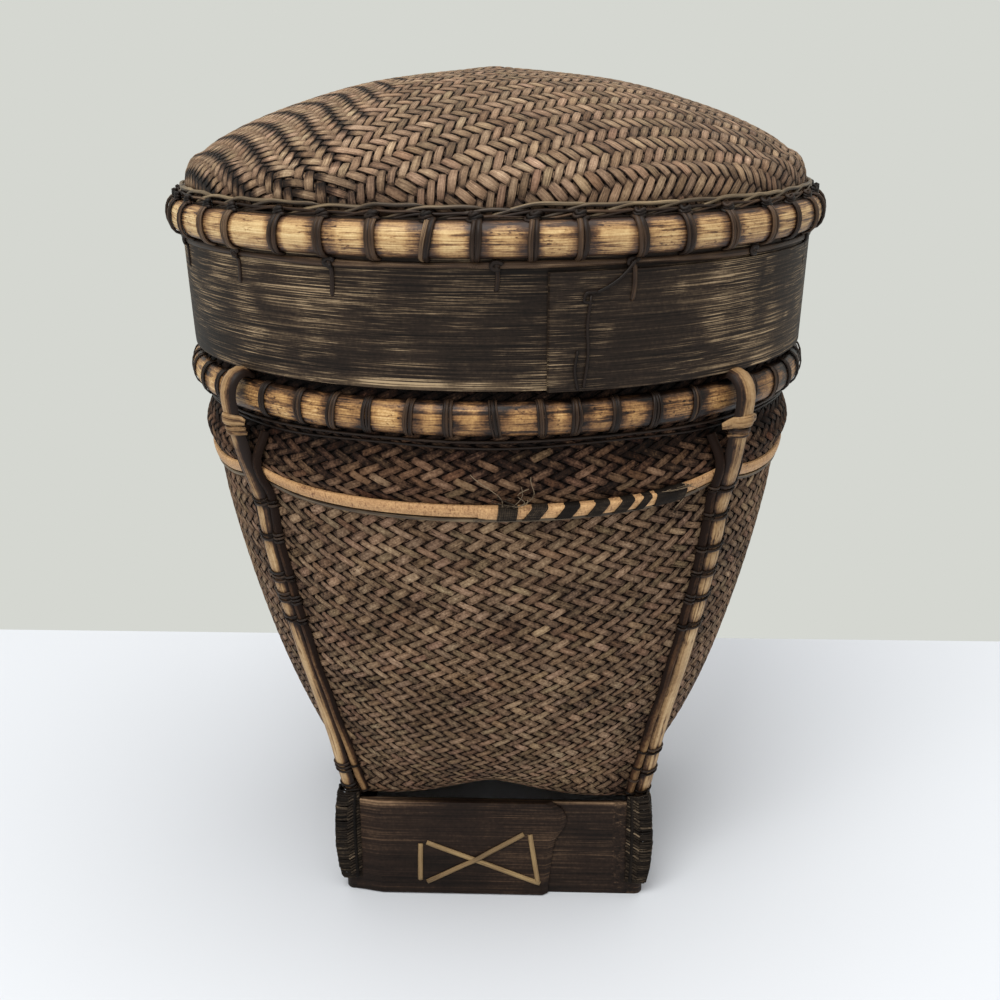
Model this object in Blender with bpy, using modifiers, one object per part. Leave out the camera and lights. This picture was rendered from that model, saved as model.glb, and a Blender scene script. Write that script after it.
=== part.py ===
"""Lidded rice basket with a round mouth, a square foot and a domed slip-over lid.

Metres, +Z up. The origin is the centre of the foot's underside, and the front of the
basket faces -Y. Azimuths are degrees from the front, positive towards +X.
"""
import math

import bmesh
import bpy
from mathutils import Vector

# Clearances
GAP = 0.0003
PLY_GAP = 0.0002
LID_CLEARANCE = 0.0013

# Resolution
RING_STEPS = 32

# Foot: a square bent bamboo band, its ends lapped on the front
FOOT_HALF_WIDTH = 0.0559
FOOT_HEIGHT = 0.0387
FOOT_THICKNESS = 0.0022
FOOT_CORNER_RADIUS = 0.0030
FOOT_LAP_START = -0.0300
FOOT_LAP_END = 0.0240
FOOT_LAP_RAMP = 0.0120
FOOT_LAP_ROUND = 0.0077

# Woven body: a shell, squarish at the heel and round from the flank up.
# Under the ankle, a rise is a height above the foot, a spread or an inset is measured
# from the foot's face, and a corner's inset from the foot's own corner.
WALL = 0.0020
BASE_RISE = 0.0078
BASE_INSET = 0.0159
BASE_CORNER_RISE = 0.0060
BASE_CORNER_INSET = 0.0250
SEAT_RISE = 0.0089
SEAT_INSET = 0.0034
SEAT_CORNER_RISE = 0.0006
SEAT_CORNER_INSET = 0.0074
TUCK_RISE = 0.0119
TUCK_SPREAD = 0.0041
TUCK_CORNER_RISE = 0.0053
TUCK_CORNER_INSET = 0.0054
HEEL_RISE = 0.0145
HEEL_SPREAD = 0.0093
HEEL_CORNER_RISE = 0.0105
HEEL_CORNER_INSET = 0.0038
ANKLE_RISE = 0.0160
ANKLE_SPREAD = 0.0121
ANKLE_CORNER_INSET = 0.0020
LOW_FLANK_SPREAD = 0.0197
LOW_FLANK_CORNER_INSET = -0.0010

# Woven body from the ankle up: a step is the height above the station below it, and an
# inset is measured from the mouth.
LOW_FLANK_STEP = 0.0103
FLANK_STEP = 0.0410
FLANK_INSET = 0.0157
FLANK_CORNER_INSET = 0.0142
HIGH_FLANK_STEP = 0.0440
HIGH_FLANK_INSET = 0.0054
HIGH_FLANK_CORNER_INSET = 0.0038
BELT_STEP = 0.0180
BELT_INSET = 0.0025
BELT_CORNER_INSET = 0.0012
BULGE_STEP = 0.0090
BULGE_INSET = -0.0008
BULGE_CORNER_INSET = -0.0014
THROAT_STEP = 0.0100
THROAT_INSET = 0.0018
MOUTH_STEP = 0.0050
MOUTH_RADIUS = 0.1062
CORNER_SPREAD = 1.3

# The over and under of the weave, drawn several times coarser than the real strips: every
# other point of the wall and of the dome is sunk
WEAVE_SINK = 0.0006
FLANK_WEAVE_ROWS = 5
DOME_WEAVE_SINK = 0.0007
DOME_WEAVE_ROWS = 8
DOME_EYE = 0.0020

# Mouth and neck
HOOP_STEP = 0.0055
HOOP_HEIGHT = 0.0105
HOOP_THICKNESS = 0.0040
INNER_HOOP_HEIGHT = 0.0090
INNER_HOOP_THICKNESS = 0.0030
NECK_HEIGHT = 0.0480
LINER_THICKNESS = 0.0016
LINER_SEAT = 0.0025
RIM_HEIGHT = 0.0030
MOUTH_CORD_RADIUS = 0.0006

# Lashing cane
LASHING_RADIUS = 0.0006
MOUTH_LASHINGS = 48
LID_LASHINGS = 44
LASHING_SPACING = 0.0021
CORNER_LASHING_CLEARANCE = 0.0023

# Belt: a flat split-cane strip round the body, its ends lapped at the front
BELT_HEIGHT = 0.0040
BELT_THICKNESS = 0.0012
BELT_LAP_STEPS = 3
BELT_BACKING_HEIGHT = 0.0015
BELT_BACKING_THICKNESS = 0.0009
BELT_WRAP_THICKNESS = 0.0005
BELT_WRAP_WIDTH = 0.0090

# Corner struts: half-round split cane that arches over the mouth hoop. Thread bands swell
# them in one group above the foot and one below the belt.
STRUT_WIDTH = 0.0066
STRUT_THICKNESS = 0.0026
STRUT_STANDOFF = 0.0040
STRUT_CROWN_GAP = 0.0015
STRUT_TIP_INSET = 0.0030
STRUT_BAND_HEIGHT = 0.0024
STRUT_BAND_THICKNESS = 0.0006
LOW_BANDS = 3
LOW_BAND_START = 0.0053
LOW_BAND_SPACING = 0.0080
HIGH_BANDS = 6
HIGH_BAND_DROP = 0.0062
HIGH_BAND_SPACING = 0.0090
SIDE_STRIP_WIDTH = 0.0026
SIDE_STRIP_THICKNESS = 0.0018
SIDE_STRIP_TOP_DROP = 0.0073
SIDE_STRIP_HEEL_LIFT = 0.0007

# Cane tie below the mouth hoop at each corner
TIE_DROP = 0.0053
TIE_SLANT = 0.0034
TIE_HEIGHT = 0.0046
TIE_SPREAD = 0.0036
TIE_THICKNESS = 0.0012

# Fibre binding round each corner of the foot
BINDING_BOTTOM = 0.0090
BINDING_TOP_RISE = 0.0040
BINDING_BULGE = 0.0059
BINDING_FLAT = 0.0067
BINDING_EDGE = 0.0009
BINDING_SHOULDER = 0.55

# Bow-tie stitch through the lap of the foot band
STITCH_RADIUS = 0.0007
STITCH_LEFT_INSET = 0.0035
STITCH_RIGHT_INSET = 0.0080
STITCH_LOW = 0.0060
STITCH_HEIGHT = 0.0170

# Lid
LID_HOOP_HEIGHT = 0.0104
LID_HOOP_THICKNESS = 0.0037
LID_INNER_HOOP_HEIGHT = 0.0110
LID_INNER_HOOP_THICKNESS = 0.0040
LID_HOOP_OFFSET = 0.0016
COLLAR_THICKNESS = 0.0014
COLLAR_REST_GAP = 0.0035
COLLAR_FLARE = 0.0021
COLLAR_LAP_STEPS = 2
COLLAR_RAMP_STEPS = 0.6
COLLAR_LAP_TOP_DROP = 0.0042
DOME_WALL = 0.0020
DOME_RISE = 0.0416
SHOULDER_INSET = 0.0058
SHOULDER_RISE = 0.0134
HIP_INSET = 0.0130
HIP_RISE = 0.0184
SLOPE_INSET = 0.0390
SLOPE_RISE = 0.0293
CROWN_INSET = 0.0690
CROWN_RISE = 0.0371
EDGE_CORD_RADIUS = 0.0013
COLLAR_CORD_RADIUS = 0.0004
COLLAR_CORD_DROP = 0.0035
COLLAR_STITCHES = 16
COLLAR_STITCH_AZIMUTH = 2.5
COLLAR_STITCH_LENGTH = 0.0115
COLLAR_STITCH_HALF_WIDTH = 0.0008
SEAM_STITCH_RADIUS = 0.0005
SEAM_STITCH_AZIMUTH = 15.5
SEAM_STITCH_TOP_DROP = 0.0109
SEAM_STITCH_SPREAD = 0.0016

CORNERS = (45, 135, 225, 315)
SHARP_ANGLE = math.radians(35)
FULL_TURN = 360

# Heights and radii that follow from the sizes above
ANKLE_Z = FOOT_HEIGHT + ANKLE_RISE
LOW_FLANK_Z = ANKLE_Z + LOW_FLANK_STEP
FLANK_Z = LOW_FLANK_Z + FLANK_STEP
HIGH_FLANK_Z = FLANK_Z + HIGH_FLANK_STEP
BELT_Z = HIGH_FLANK_Z + BELT_STEP
BULGE_Z = BELT_Z + BULGE_STEP
THROAT_Z = BULGE_Z + THROAT_STEP
MOUTH_Z = THROAT_Z + MOUTH_STEP
HOOP_Z = MOUTH_Z + HOOP_STEP
HOOP_TOP = HOOP_Z + HOOP_HEIGHT / 2
HOOP_BOTTOM = HOOP_Z - HOOP_HEIGHT / 2
HOOP_BACK = MOUTH_RADIUS + GAP
HOOP_OUTER = HOOP_BACK + HOOP_THICKNESS
NECK_TOP = MOUTH_Z + NECK_HEIGHT
LINER_OUTER = MOUTH_RADIUS - WALL - GAP
RIM_TOP = NECK_TOP + GAP + RIM_HEIGHT
COLLAR_BORE = MOUTH_RADIUS + LID_CLEARANCE
COLLAR_BOTTOM = HOOP_TOP + COLLAR_REST_GAP
LID_INNER_HOOP_BOTTOM = RIM_TOP + GAP
LID_HOOP_BOTTOM = LID_INNER_HOOP_BOTTOM + LID_HOOP_OFFSET
LID_HOOP_TOP = LID_HOOP_BOTTOM + LID_HOOP_HEIGHT
COLLAR_TOP = LID_HOOP_TOP - GAP
LID_HOOP_BACK = COLLAR_BORE + COLLAR_FLARE + COLLAR_THICKNESS + GAP
LID_HOOP_OUTER = LID_HOOP_BACK + LID_HOOP_THICKNESS
BELT_LIFT = BELT_THICKNESS + GAP


def clear_scene():
    for old in list(bpy.data.objects):
        bpy.data.objects.remove(old, do_unlink=True)


def make_material(name, colour, roughness):
    material = bpy.data.materials.new(name)
    material.use_nodes = True
    shader = material.node_tree.nodes["Principled BSDF"]
    shader.inputs["Base Color"].default_value = (*colour, 1.0)
    shader.inputs["Roughness"].default_value = roughness
    return material


def link_object(name, data, material):
    data.materials.append(material)
    piece = bpy.data.objects.new(name, data)
    BASKET.objects.link(piece)
    return piece


def smooth_curve(knots):
    """Return a function through (x, y) knots in order of x that never overshoots them."""
    xs = [x for x, _ in knots]
    ys = [y for _, y in knots]
    steps = [b - a for a, b in zip(xs, xs[1:])]
    slopes = [(d - c) / h for c, d, h in zip(ys, ys[1:], steps)]
    tangents = [slopes[0]]
    for left, right, h_left, h_right in zip(slopes, slopes[1:], steps, steps[1:]):
        if left * right <= 0:
            tangents.append(0.0)
            continue
        w_left = 2 * h_right + h_left
        w_right = h_right + 2 * h_left
        tangents.append((w_left + w_right) / (w_left / left + w_right / right))
    tangents.append(slopes[-1])

    def value(x):
        i = 0
        while i < len(steps) - 1 and x > xs[i + 1]:
            i += 1
        t = (x - xs[i]) / steps[i]
        rise = ys[i] * (1 + 2 * t) * (1 - t) ** 2 + ys[i + 1] * t * t * (3 - 2 * t)
        bend = tangents[i] * t * (1 - t) ** 2 - tangents[i + 1] * t * t * (1 - t)
        return rise + bend * steps[i]

    return value


def outward(azimuth):
    """Unit vector from the axis towards an azimuth."""
    a = math.radians(azimuth)
    return Vector((math.sin(a), -math.cos(a), 0))


def sideways(azimuth):
    """Unit vector along the rim, towards larger azimuths."""
    a = math.radians(azimuth)
    return Vector((math.cos(a), math.sin(a), 0))


def place(radius, azimuth, height):
    return outward(azimuth) * radius + Vector((0, 0, height))


def corner_share(azimuth):
    """0 at the middle of a face and 1 at a corner, as the radius of a square grows."""
    off_face = math.radians((azimuth + 45) % 90 - 45)
    return (1 / math.cos(off_face) - 1) / (math.sqrt(2) - 1)


def wall_stations():
    """(face radius, face height, corner radius, corner height) from the base up to the throat."""
    foot = FOOT_HEIGHT
    face = FOOT_HALF_WIDTH
    corner = FOOT_HALF_WIDTH * math.sqrt(2)
    mouth = MOUTH_RADIUS
    under = [
        (face - BASE_INSET, foot + BASE_RISE, corner - BASE_CORNER_INSET, foot + BASE_CORNER_RISE),
        (face - SEAT_INSET, foot + SEAT_RISE, corner - SEAT_CORNER_INSET, foot + SEAT_CORNER_RISE),
        (face + TUCK_SPREAD, foot + TUCK_RISE, corner - TUCK_CORNER_INSET, foot + TUCK_CORNER_RISE),
        (face + HEEL_SPREAD, foot + HEEL_RISE, corner - HEEL_CORNER_INSET, foot + HEEL_CORNER_RISE),
    ]
    level = [
        (face + ANKLE_SPREAD, corner - ANKLE_CORNER_INSET, ANKLE_Z),
        (face + LOW_FLANK_SPREAD, corner - LOW_FLANK_CORNER_INSET, LOW_FLANK_Z),
        (mouth - FLANK_INSET, mouth - FLANK_CORNER_INSET, FLANK_Z),
        (mouth - HIGH_FLANK_INSET, mouth - HIGH_FLANK_CORNER_INSET, HIGH_FLANK_Z),
        (mouth - BELT_INSET, mouth - BELT_CORNER_INSET, BELT_Z),
        (mouth - BULGE_INSET, mouth - BULGE_CORNER_INSET, BULGE_Z),
        (mouth - THROAT_INSET, mouth - THROAT_INSET, THROAT_Z),
    ]
    return under + [(face_r, z, corner_r, z) for face_r, corner_r, z in level]


STATIONS = wall_stations()
FACE_AT = smooth_curve([(s[3], s[0]) for s in STATIONS[1:]])
CORNER_AT = smooth_curve([(s[3], s[2]) for s in STATIONS[1:]])


def wall_radius(azimuth, height):
    """Radius of the woven wall's outer face, from its seat in the foot up to the throat."""
    face = FACE_AT(height)
    return face + (CORNER_AT(height) - face) * corner_share(azimuth)


def loft(name, rings, material, closed=False, capped=True):
    """Skin rings of points; a closed loft joins its last ring to its first."""
    mesh = bmesh.new()
    rows = [[mesh.verts.new(point) for point in ring] for ring in rings]
    pairs = list(zip(rows, rows[1:]))
    if closed:
        pairs.append((rows[-1], rows[0]))
    for low, high in pairs:
        for i in range(len(low)):
            j = (i + 1) % len(low)
            mesh.faces.new((low[i], low[j], high[j], high[i]))
    if capped and not closed:
        mesh.faces.new(list(reversed(rows[0])))
        mesh.faces.new(rows[-1])
    bmesh.ops.recalc_face_normals(mesh, faces=mesh.faces)
    data = bpy.data.meshes.new(name)
    mesh.to_mesh(data)
    mesh.free()
    data.shade_smooth()
    data.set_sharp_from_angle(angle=SHARP_ANGLE)
    return link_object(name, data, material)


def add_shell(piece, thickness):
    shell = piece.modifiers.new("Wall", "SOLIDIFY")
    shell.thickness = thickness
    shell.offset = -1
    shell.use_even_offset = True


def turned(name, profile, material, closed=True):
    """Turn an (r, z) profile about the axis; its outer side runs from top to bottom."""
    mesh = bmesh.new()
    points = [mesh.verts.new((r, 0, z)) for r, z in profile]
    for a, b in zip(points, points[1:]):
        mesh.edges.new((a, b))
    if closed:
        mesh.edges.new((points[-1], points[0]))
    data = bpy.data.meshes.new(name)
    mesh.to_mesh(data)
    mesh.free()
    piece = link_object(name, data, material)
    turn = piece.modifiers.new("Turn", "SCREW")
    turn.steps = RING_STEPS
    turn.render_steps = RING_STEPS
    turn.use_merge_vertices = True
    turn.merge_threshold = 0.00001
    turn.use_smooth_shade = True
    return piece


def half_round(back, middle, height, thickness, angles=(90, 45, 0, -45, -90)):
    """Half-round hoop section, flat side at radius back; a negative thickness faces inwards."""
    points = []
    for angle in angles:
        a = math.radians(angle)
        points.append((back + thickness * math.cos(a), middle + height / 2 * math.sin(a)))
    return points if thickness > 0 else list(reversed(points))


def strand(name, points, radius, material):
    """A closed run of round cane through points."""
    curve = bpy.data.curves.new(name, "CURVE")
    curve.dimensions = "3D"
    curve.bevel_depth = radius
    curve.bevel_resolution = 0
    curve.resolution_u = 1
    curve.render_resolution_u = 0
    spline = curve.splines.new("POLY")
    spline.points.add(len(points) - 1)
    for target, point in zip(spline.points, points):
        target.co = (*point, 1)
    spline.use_cyclic_u = True
    return link_object(name, curve, material)


def least_gap(points, radius, neighbours):
    """Least clear distance between stretches of a strand that aren't neighbours along it."""
    least = 1.0
    count = len(points)
    for i in range(count):
        for j in range(i + neighbours, count - max(0, neighbours - i)):
            least = min(least, (points[i] - points[j]).length)
    return least - 2 * radius


def print_gap(name, points, radius):
    spare = least_gap(points, radius, 3)
    print(f"{name}: least gap to itself {spare * 1000:.2f} mm")


def torus(name, radius, height, cord_radius, material):
    bpy.ops.mesh.primitive_torus_add(
        major_segments=RING_STEPS,
        minor_segments=4,
        major_radius=radius,
        minor_radius=cord_radius,
        location=(0, 0, height),
    )
    piece = bpy.context.object
    piece.name = name
    piece.data.name = name
    piece.data.materials.append(material)
    for owner in list(piece.users_collection):
        owner.objects.unlink(piece)
    BASKET.objects.link(piece)
    return piece


def ring_azimuths():
    return [i * FULL_TURN / RING_STEPS for i in range(RING_STEPS)]


def sunk(step, depth):
    """How far a point of a coarse weave lies under the surface, every other one."""
    return depth if step % 2 else 0.0


def close_first_ring(piece):
    """Close the first ring of an open loft with one face."""
    shape = bmesh.new()
    shape.from_mesh(piece.data)
    shape.verts.ensure_lookup_table()
    shape.faces.new([shape.verts[i] for i in reversed(range(RING_STEPS))])
    bmesh.ops.recalc_face_normals(shape, faces=shape.faces)
    shape.to_mesh(piece.data)
    shape.free()


def woven_body(material):
    rows = []
    for face, face_z, corner, corner_z in STATIONS[:4]:
        ring = []
        for azimuth in ring_azimuths():
            share = corner_share(azimuth)
            arch = abs(math.sin(math.radians(2 * azimuth))) ** CORNER_SPREAD
            height = face_z + (corner_z - face_z) * arch
            ring.append(place(face + (corner - face) * share, azimuth, height))
        rows.append(ring)
    rows.append([place(wall_radius(a, ANKLE_Z), a, ANKLE_Z) for a in ring_azimuths()])
    for low, high in ((LOW_FLANK_Z, FLANK_Z), (FLANK_Z, HIGH_FLANK_Z)):
        for row in range(FLANK_WEAVE_ROWS - 1):
            height = low + (high - low) * row / (FLANK_WEAVE_ROWS - 1)
            rows.append([
                place(wall_radius(a, height) - sunk(i + row, WEAVE_SINK), a, height)
                for i, a in enumerate(ring_azimuths())
            ])
    flanks = [
        HIGH_FLANK_Z,
        BELT_Z - BELT_HEIGHT / 2 - BELT_BACKING_HEIGHT - GAP,
        BELT_Z,
        BELT_Z + BELT_HEIGHT / 2,
        BULGE_Z,
        (BULGE_Z + THROAT_Z) / 2,
        THROAT_Z,
    ]
    for height in flanks:
        rows.append([place(wall_radius(a, height), a, height) for a in ring_azimuths()])
    for height in (MOUTH_Z, NECK_TOP):
        rows.append([place(MOUTH_RADIUS, a, height) for a in ring_azimuths()])
    body = loft("woven_body", rows, material, capped=False)
    close_first_ring(body)
    add_shell(body, WALL)


def neck_liner(material):
    inner = LINER_OUTER - LINER_THICKNESS
    low = MOUTH_Z + LINER_SEAT
    profile = [(LINER_OUTER, NECK_TOP), (LINER_OUTER, low), (inner, low), (inner, NECK_TOP)]
    return turned("neck_liner", profile, material)


def neck_rim(material):
    inner = LINER_OUTER - LINER_THICKNESS
    low = NECK_TOP + GAP
    bevel = RIM_HEIGHT / 3
    profile = [
        (MOUTH_RADIUS - bevel, RIM_TOP),
        (MOUTH_RADIUS, RIM_TOP - bevel),
        (MOUTH_RADIUS, low),
        (inner, low),
        (inner, RIM_TOP - bevel),
        (inner + bevel, RIM_TOP),
    ]
    return turned("neck_rim", profile, material)


def mouth_hoops(cane):
    turned("mouth_hoop", half_round(HOOP_BACK, HOOP_Z, HOOP_HEIGHT, HOOP_THICKNESS), cane)
    back = LINER_OUTER - LINER_THICKNESS - GAP
    section = half_round(back, HOOP_Z, INNER_HOOP_HEIGHT, -INNER_HOOP_THICKNESS)
    turned("inner_hoop", section, cane)


def lashing_pass(azimuth, back, middle, height, thickness, downwards):
    """One pass of lashing cane over the front of a half-round hoop."""
    reach = GAP + LASHING_RADIUS
    points = []
    for angle in (45, 0, -45):
        a = math.radians(angle)
        radius = back + thickness * math.cos(a) + reach * math.cos(a)
        points.append(place(radius, azimuth, middle + (height / 2 + reach) * math.sin(a)))
    return points if downwards else list(reversed(points))


def lacing(name, count, hoop, groove, turn, material, corners=()):
    """One strand that runs along the top of a hoop and goes down over it and back at each lashing.

    hoop is (back, middle, height, thickness), groove and turn the (radius, height) above and
    below it. At the corners it runs below the hoop instead, clear of the strut.
    """
    outer = hoop[0] + hoop[3]
    points = []
    for i in range(count):
        azimuth = i * FULL_TURN / count
        at_corner = any(abs(azimuth - corner) < FULL_TURN / count / 2 for corner in corners)
        reach = STRUT_WIDTH / 2 + CORNER_LASHING_CLEARANCE + LASHING_RADIUS
        reach = reach if at_corner else LASHING_SPACING / 2
        spread = math.degrees(reach / outer)
        left = azimuth - spread
        right = azimuth + spread
        points.append(place(groove[0], left, groove[1]))
        points += lashing_pass(left, *hoop, downwards=True)
        turns = (left, right) if at_corner else (azimuth,)
        points += [place(turn[0], a, turn[1]) for a in turns]
        points += lashing_pass(right, *hoop, downwards=False)
        points.append(place(groove[0], right, groove[1]))
    print_gap(name, points, LASHING_RADIUS)
    return strand(name, points, LASHING_RADIUS, material)


def mouth_lacing(material):
    reach = GAP + LASHING_RADIUS
    hoop = (HOOP_BACK, HOOP_Z, HOOP_HEIGHT, HOOP_THICKNESS)
    groove = (MOUTH_RADIUS + reach, HOOP_TOP + reach)
    turn = (HOOP_BACK + HOOP_THICKNESS / 2, HOOP_BOTTOM - reach)
    return lacing("mouth_lacing", MOUTH_LASHINGS, hoop, groove, turn, material, CORNERS)


def mouth_cord(material):
    radius = MOUTH_RADIUS - THROAT_INSET + GAP + MOUTH_CORD_RADIUS * math.sqrt(2)
    return torus("mouth_cord", radius, THROAT_Z, MOUTH_CORD_RADIUS, material)


def strip_section(centre, out, up, thickness, height):
    """Four corners of a strip that stands on its inner face."""
    half = up * (height / 2)
    return [centre - half, centre - half + out * thickness,
            centre + half + out * thickness, centre + half]


def wall_normal(azimuth, height):
    """Outward normal of the wall in the vertical plane through the axis."""
    step = BELT_HEIGHT / 2
    slope = (wall_radius(azimuth, height + step) - wall_radius(azimuth, height - step)) / (2 * step)
    return (outward(azimuth) - Vector((0, 0, slope))).normalized()


def wall_strip_ring(azimuth, height, offset, thickness, strip_height):
    out = wall_normal(azimuth, height)
    up = sideways(azimuth).cross(out)
    up = up if up.z > 0 else -up
    centre = place(wall_radius(azimuth, height), azimuth, height) + out * (GAP + offset)
    return strip_section(centre, out, up, thickness, strip_height)


def belt(material):
    """The belt's outer end is at the front; its inner end lies below the lap."""
    rings = []
    for i in range(RING_STEPS + BELT_LAP_STEPS + 1):
        azimuth = i * FULL_TURN / RING_STEPS
        outer_ply = i <= BELT_LAP_STEPS
        lift = BELT_THICKNESS + PLY_GAP if outer_ply else 0.0
        rings.append(wall_strip_ring(azimuth, BELT_Z, lift, BELT_THICKNESS, BELT_HEIGHT))
    return loft("belt", rings, material)


def belt_backing(material):
    height = BELT_Z - BELT_HEIGHT / 2 - BELT_BACKING_HEIGHT / 2 - GAP * 1.5
    rings = [
        wall_strip_ring(azimuth, height, 0.0, BELT_BACKING_THICKNESS, BELT_BACKING_HEIGHT)
        for azimuth in ring_azimuths()
    ]
    return loft("belt_backing", rings, material, closed=True)


def belt_wraps(material):
    """Thread caps over the two ends of the belt's lap."""
    plies = 2 * BELT_THICKNESS + PLY_GAP
    lap = BELT_LAP_STEPS * FULL_TURN / RING_STEPS
    half_angle = math.degrees(BELT_WRAP_WIDTH / 2 / (MOUTH_RADIUS - BELT_INSET))
    for number, middle in enumerate((half_angle, lap - half_angle), start=1):
        rings = []
        for azimuth in (middle - half_angle * 0.9, middle + half_angle * 0.9):
            out = wall_normal(azimuth, BELT_Z)
            up = sideways(azimuth).cross(out)
            up = up if up.z > 0 else -up
            foot = place(wall_radius(azimuth, BELT_Z), azimuth, BELT_Z)
            front = foot + out * (2 * GAP + plies)
            half = up * (BELT_HEIGHT / 2 + GAP)
            thick = BELT_WRAP_THICKNESS
            rings.append([
                front - half,
                front + half,
                front + half + out * thick,
                front - half + out * thick,
            ])
        loft(f"belt_wrap_{number}", rings, material)


def strut_back_path():
    """(radius, height) points up the strut's inner face, from the foot to its tip."""
    belt_top = BELT_HEIGHT / 2 + GAP
    heights = [
        FOOT_HEIGHT + GAP,
        FOOT_HEIGHT + TUCK_CORNER_RISE,
        FOOT_HEIGHT + HEEL_CORNER_RISE,
        ANKLE_Z,
        LOW_FLANK_Z,
        (LOW_FLANK_Z + FLANK_Z) / 2,
        FLANK_Z,
        (FLANK_Z + HIGH_FLANK_Z) / 2,
        HIGH_FLANK_Z,
    ]
    low = max(heights[0], STATIONS[1][3])
    path = [(CORNER_AT(max(z, low)) + GAP, z) for z in heights]
    for z in (BELT_Z - belt_top, BELT_Z + belt_top):
        path.append((CORNER_AT(z) + GAP + BELT_LIFT, z))
    path.append((CORNER_AT(BULGE_Z) + GAP + BELT_LIFT / 2, BULGE_Z))
    path.append((HOOP_OUTER + STRUT_STANDOFF / 2, THROAT_Z + MOUTH_CORD_RADIUS))
    path.append((HOOP_OUTER + STRUT_STANDOFF * 0.9, HOOP_Z - HOOP_HEIGHT * 0.2))
    path.append((HOOP_OUTER + STRUT_STANDOFF, HOOP_Z + HOOP_HEIGHT * 0.2))
    path.append((HOOP_OUTER + STRUT_STANDOFF * 0.75, HOOP_TOP - STRUT_CROWN_GAP * 0.4))
    path.append((HOOP_OUTER + STRUT_STANDOFF * 0.1, HOOP_TOP + STRUT_CROWN_GAP))
    path.append((HOOP_OUTER - STRUT_TIP_INSET, HOOP_TOP + GAP))
    return path


def strut_profile():
    """Points up the strut's inner face, each as (radius, height) with its outward normal."""
    path = [Vector((r, z)) for r, z in strut_back_path()]
    stations = []
    for i, point in enumerate(path):
        before = path[max(i - 1, 0)]
        after = path[min(i + 1, len(path) - 1)]
        along = (after - before).normalized() if i else Vector((0, 1))
        stations.append((point, Vector((along.y, -along.x))))
    return stations


def between(stations, height):
    """Point and normal of the lower strut at a height."""
    for (p, n), (q, m) in zip(stations, stations[1:]):
        if p.y <= height <= q.y:
            t = (height - p.y) / (q.y - p.y)
            return p.lerp(q, t), n.lerp(m, t).normalized()
    return stations[0]


def cane_section(point, normal, azimuth, swell):
    """Half-round cane section: flat inner face at point, swell added by a band."""
    out = outward(azimuth) * normal.x + Vector((0, 0, normal.y))
    side = sideways(azimuth)
    base = outward(azimuth) * point.x + Vector((0, 0, point.y))
    half = STRUT_WIDTH / 2 + swell
    thick = STRUT_THICKNESS + swell
    shape = ((-half, 0.0), (-half * 0.8, thick * 0.7), (0.0, thick), (half * 0.8, thick * 0.7), (half, 0.0))
    return [base + side * across + out * lift for across, lift in shape]


def band_heights():
    """Middles of the thread bands on a strut."""
    low = [FOOT_HEIGHT + LOW_BAND_START + i * LOW_BAND_SPACING for i in range(LOW_BANDS)]
    top = BELT_Z - BELT_HEIGHT / 2 - HIGH_BAND_DROP
    high = [top - i * HIGH_BAND_SPACING for i in reversed(range(HIGH_BANDS))]
    return low + high


def corner_struts(material):
    stations = strut_profile()
    half = STRUT_BAND_HEIGHT / 2
    edge = STRUT_BAND_HEIGHT / 6
    rows = []
    for middle in band_heights():
        for offset, swell in ((-half, 0.0), (-half + edge, STRUT_BAND_THICKNESS),
                              (half - edge, STRUT_BAND_THICKNESS), (half, 0.0)):
            point, normal = between(stations, middle + offset)
            rows.append((point, normal, swell))
    clear = half + STRUT_BAND_HEIGHT / 8
    for point, normal in stations:
        if all(abs(point.y - middle) > clear for middle in band_heights()):
            rows.append((point, normal, 0.0))
    lower = sorted((row for row in rows if row[0].y < BULGE_Z), key=lambda row: row[0].y)
    upper = [row for row in rows if row[0].y >= BULGE_Z]
    for number, azimuth in enumerate(CORNERS, start=1):
        rings = [cane_section(*row[:2], azimuth, row[2]) for row in lower + upper]
        loft(f"corner_strut_{number}", rings, material)


def side_strips(material):
    """A narrow strip on each side of every strut, over the belt and down to the foot."""
    belt_edge = BELT_HEIGHT / 2 + GAP
    stations = [
        (FOOT_HEIGHT + BINDING_TOP_RISE + 2 * GAP, SIDE_STRIP_HEEL_LIFT),
        (FOOT_HEIGHT + TUCK_CORNER_RISE, SIDE_STRIP_HEEL_LIFT),
        (FOOT_HEIGHT + HEEL_CORNER_RISE, SIDE_STRIP_HEEL_LIFT / 2),
        (ANKLE_Z, 0.0),
        (LOW_FLANK_Z, 0.0),
        ((LOW_FLANK_Z + FLANK_Z) / 2, 0.0),
        (FLANK_Z, 0.0),
        ((FLANK_Z + HIGH_FLANK_Z) / 2, 0.0),
        (HIGH_FLANK_Z, 0.0),
        (BELT_Z - belt_edge, BELT_LIFT),
        (BELT_Z + belt_edge, BELT_LIFT),
        (THROAT_Z - SIDE_STRIP_TOP_DROP, BELT_LIFT / 2),
    ]
    middle = STRUT_WIDTH / 2 + STRUT_BAND_THICKNESS + GAP + SIDE_STRIP_WIDTH / 2
    for number, corner in enumerate(CORNERS, start=1):
        for side_name, sign in (("left", -1), ("right", 1)):
            rings = []
            for height, extra in stations:
                azimuth = corner + sign * math.degrees(middle / CORNER_AT(height))
                radius = wall_radius(azimuth, height)
                ahead = place(wall_radius(azimuth + 1, height), azimuth + 1, height)
                behind = place(wall_radius(azimuth - 1, height), azimuth - 1, height)
                side = (ahead - behind).normalized()
                out = Vector((side.y, -side.x, 0))
                base = place(radius, azimuth, height) + out * (GAP + extra)
                half = side * (SIDE_STRIP_WIDTH / 2)
                thick = SIDE_STRIP_THICKNESS
                rings.append([
                    base - half,
                    base - half * 0.6 + out * thick,
                    base + half * 0.6 + out * thick,
                    base + half,
                ])
            loft(f"side_strip_{number}_{side_name}", rings, material)


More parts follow.
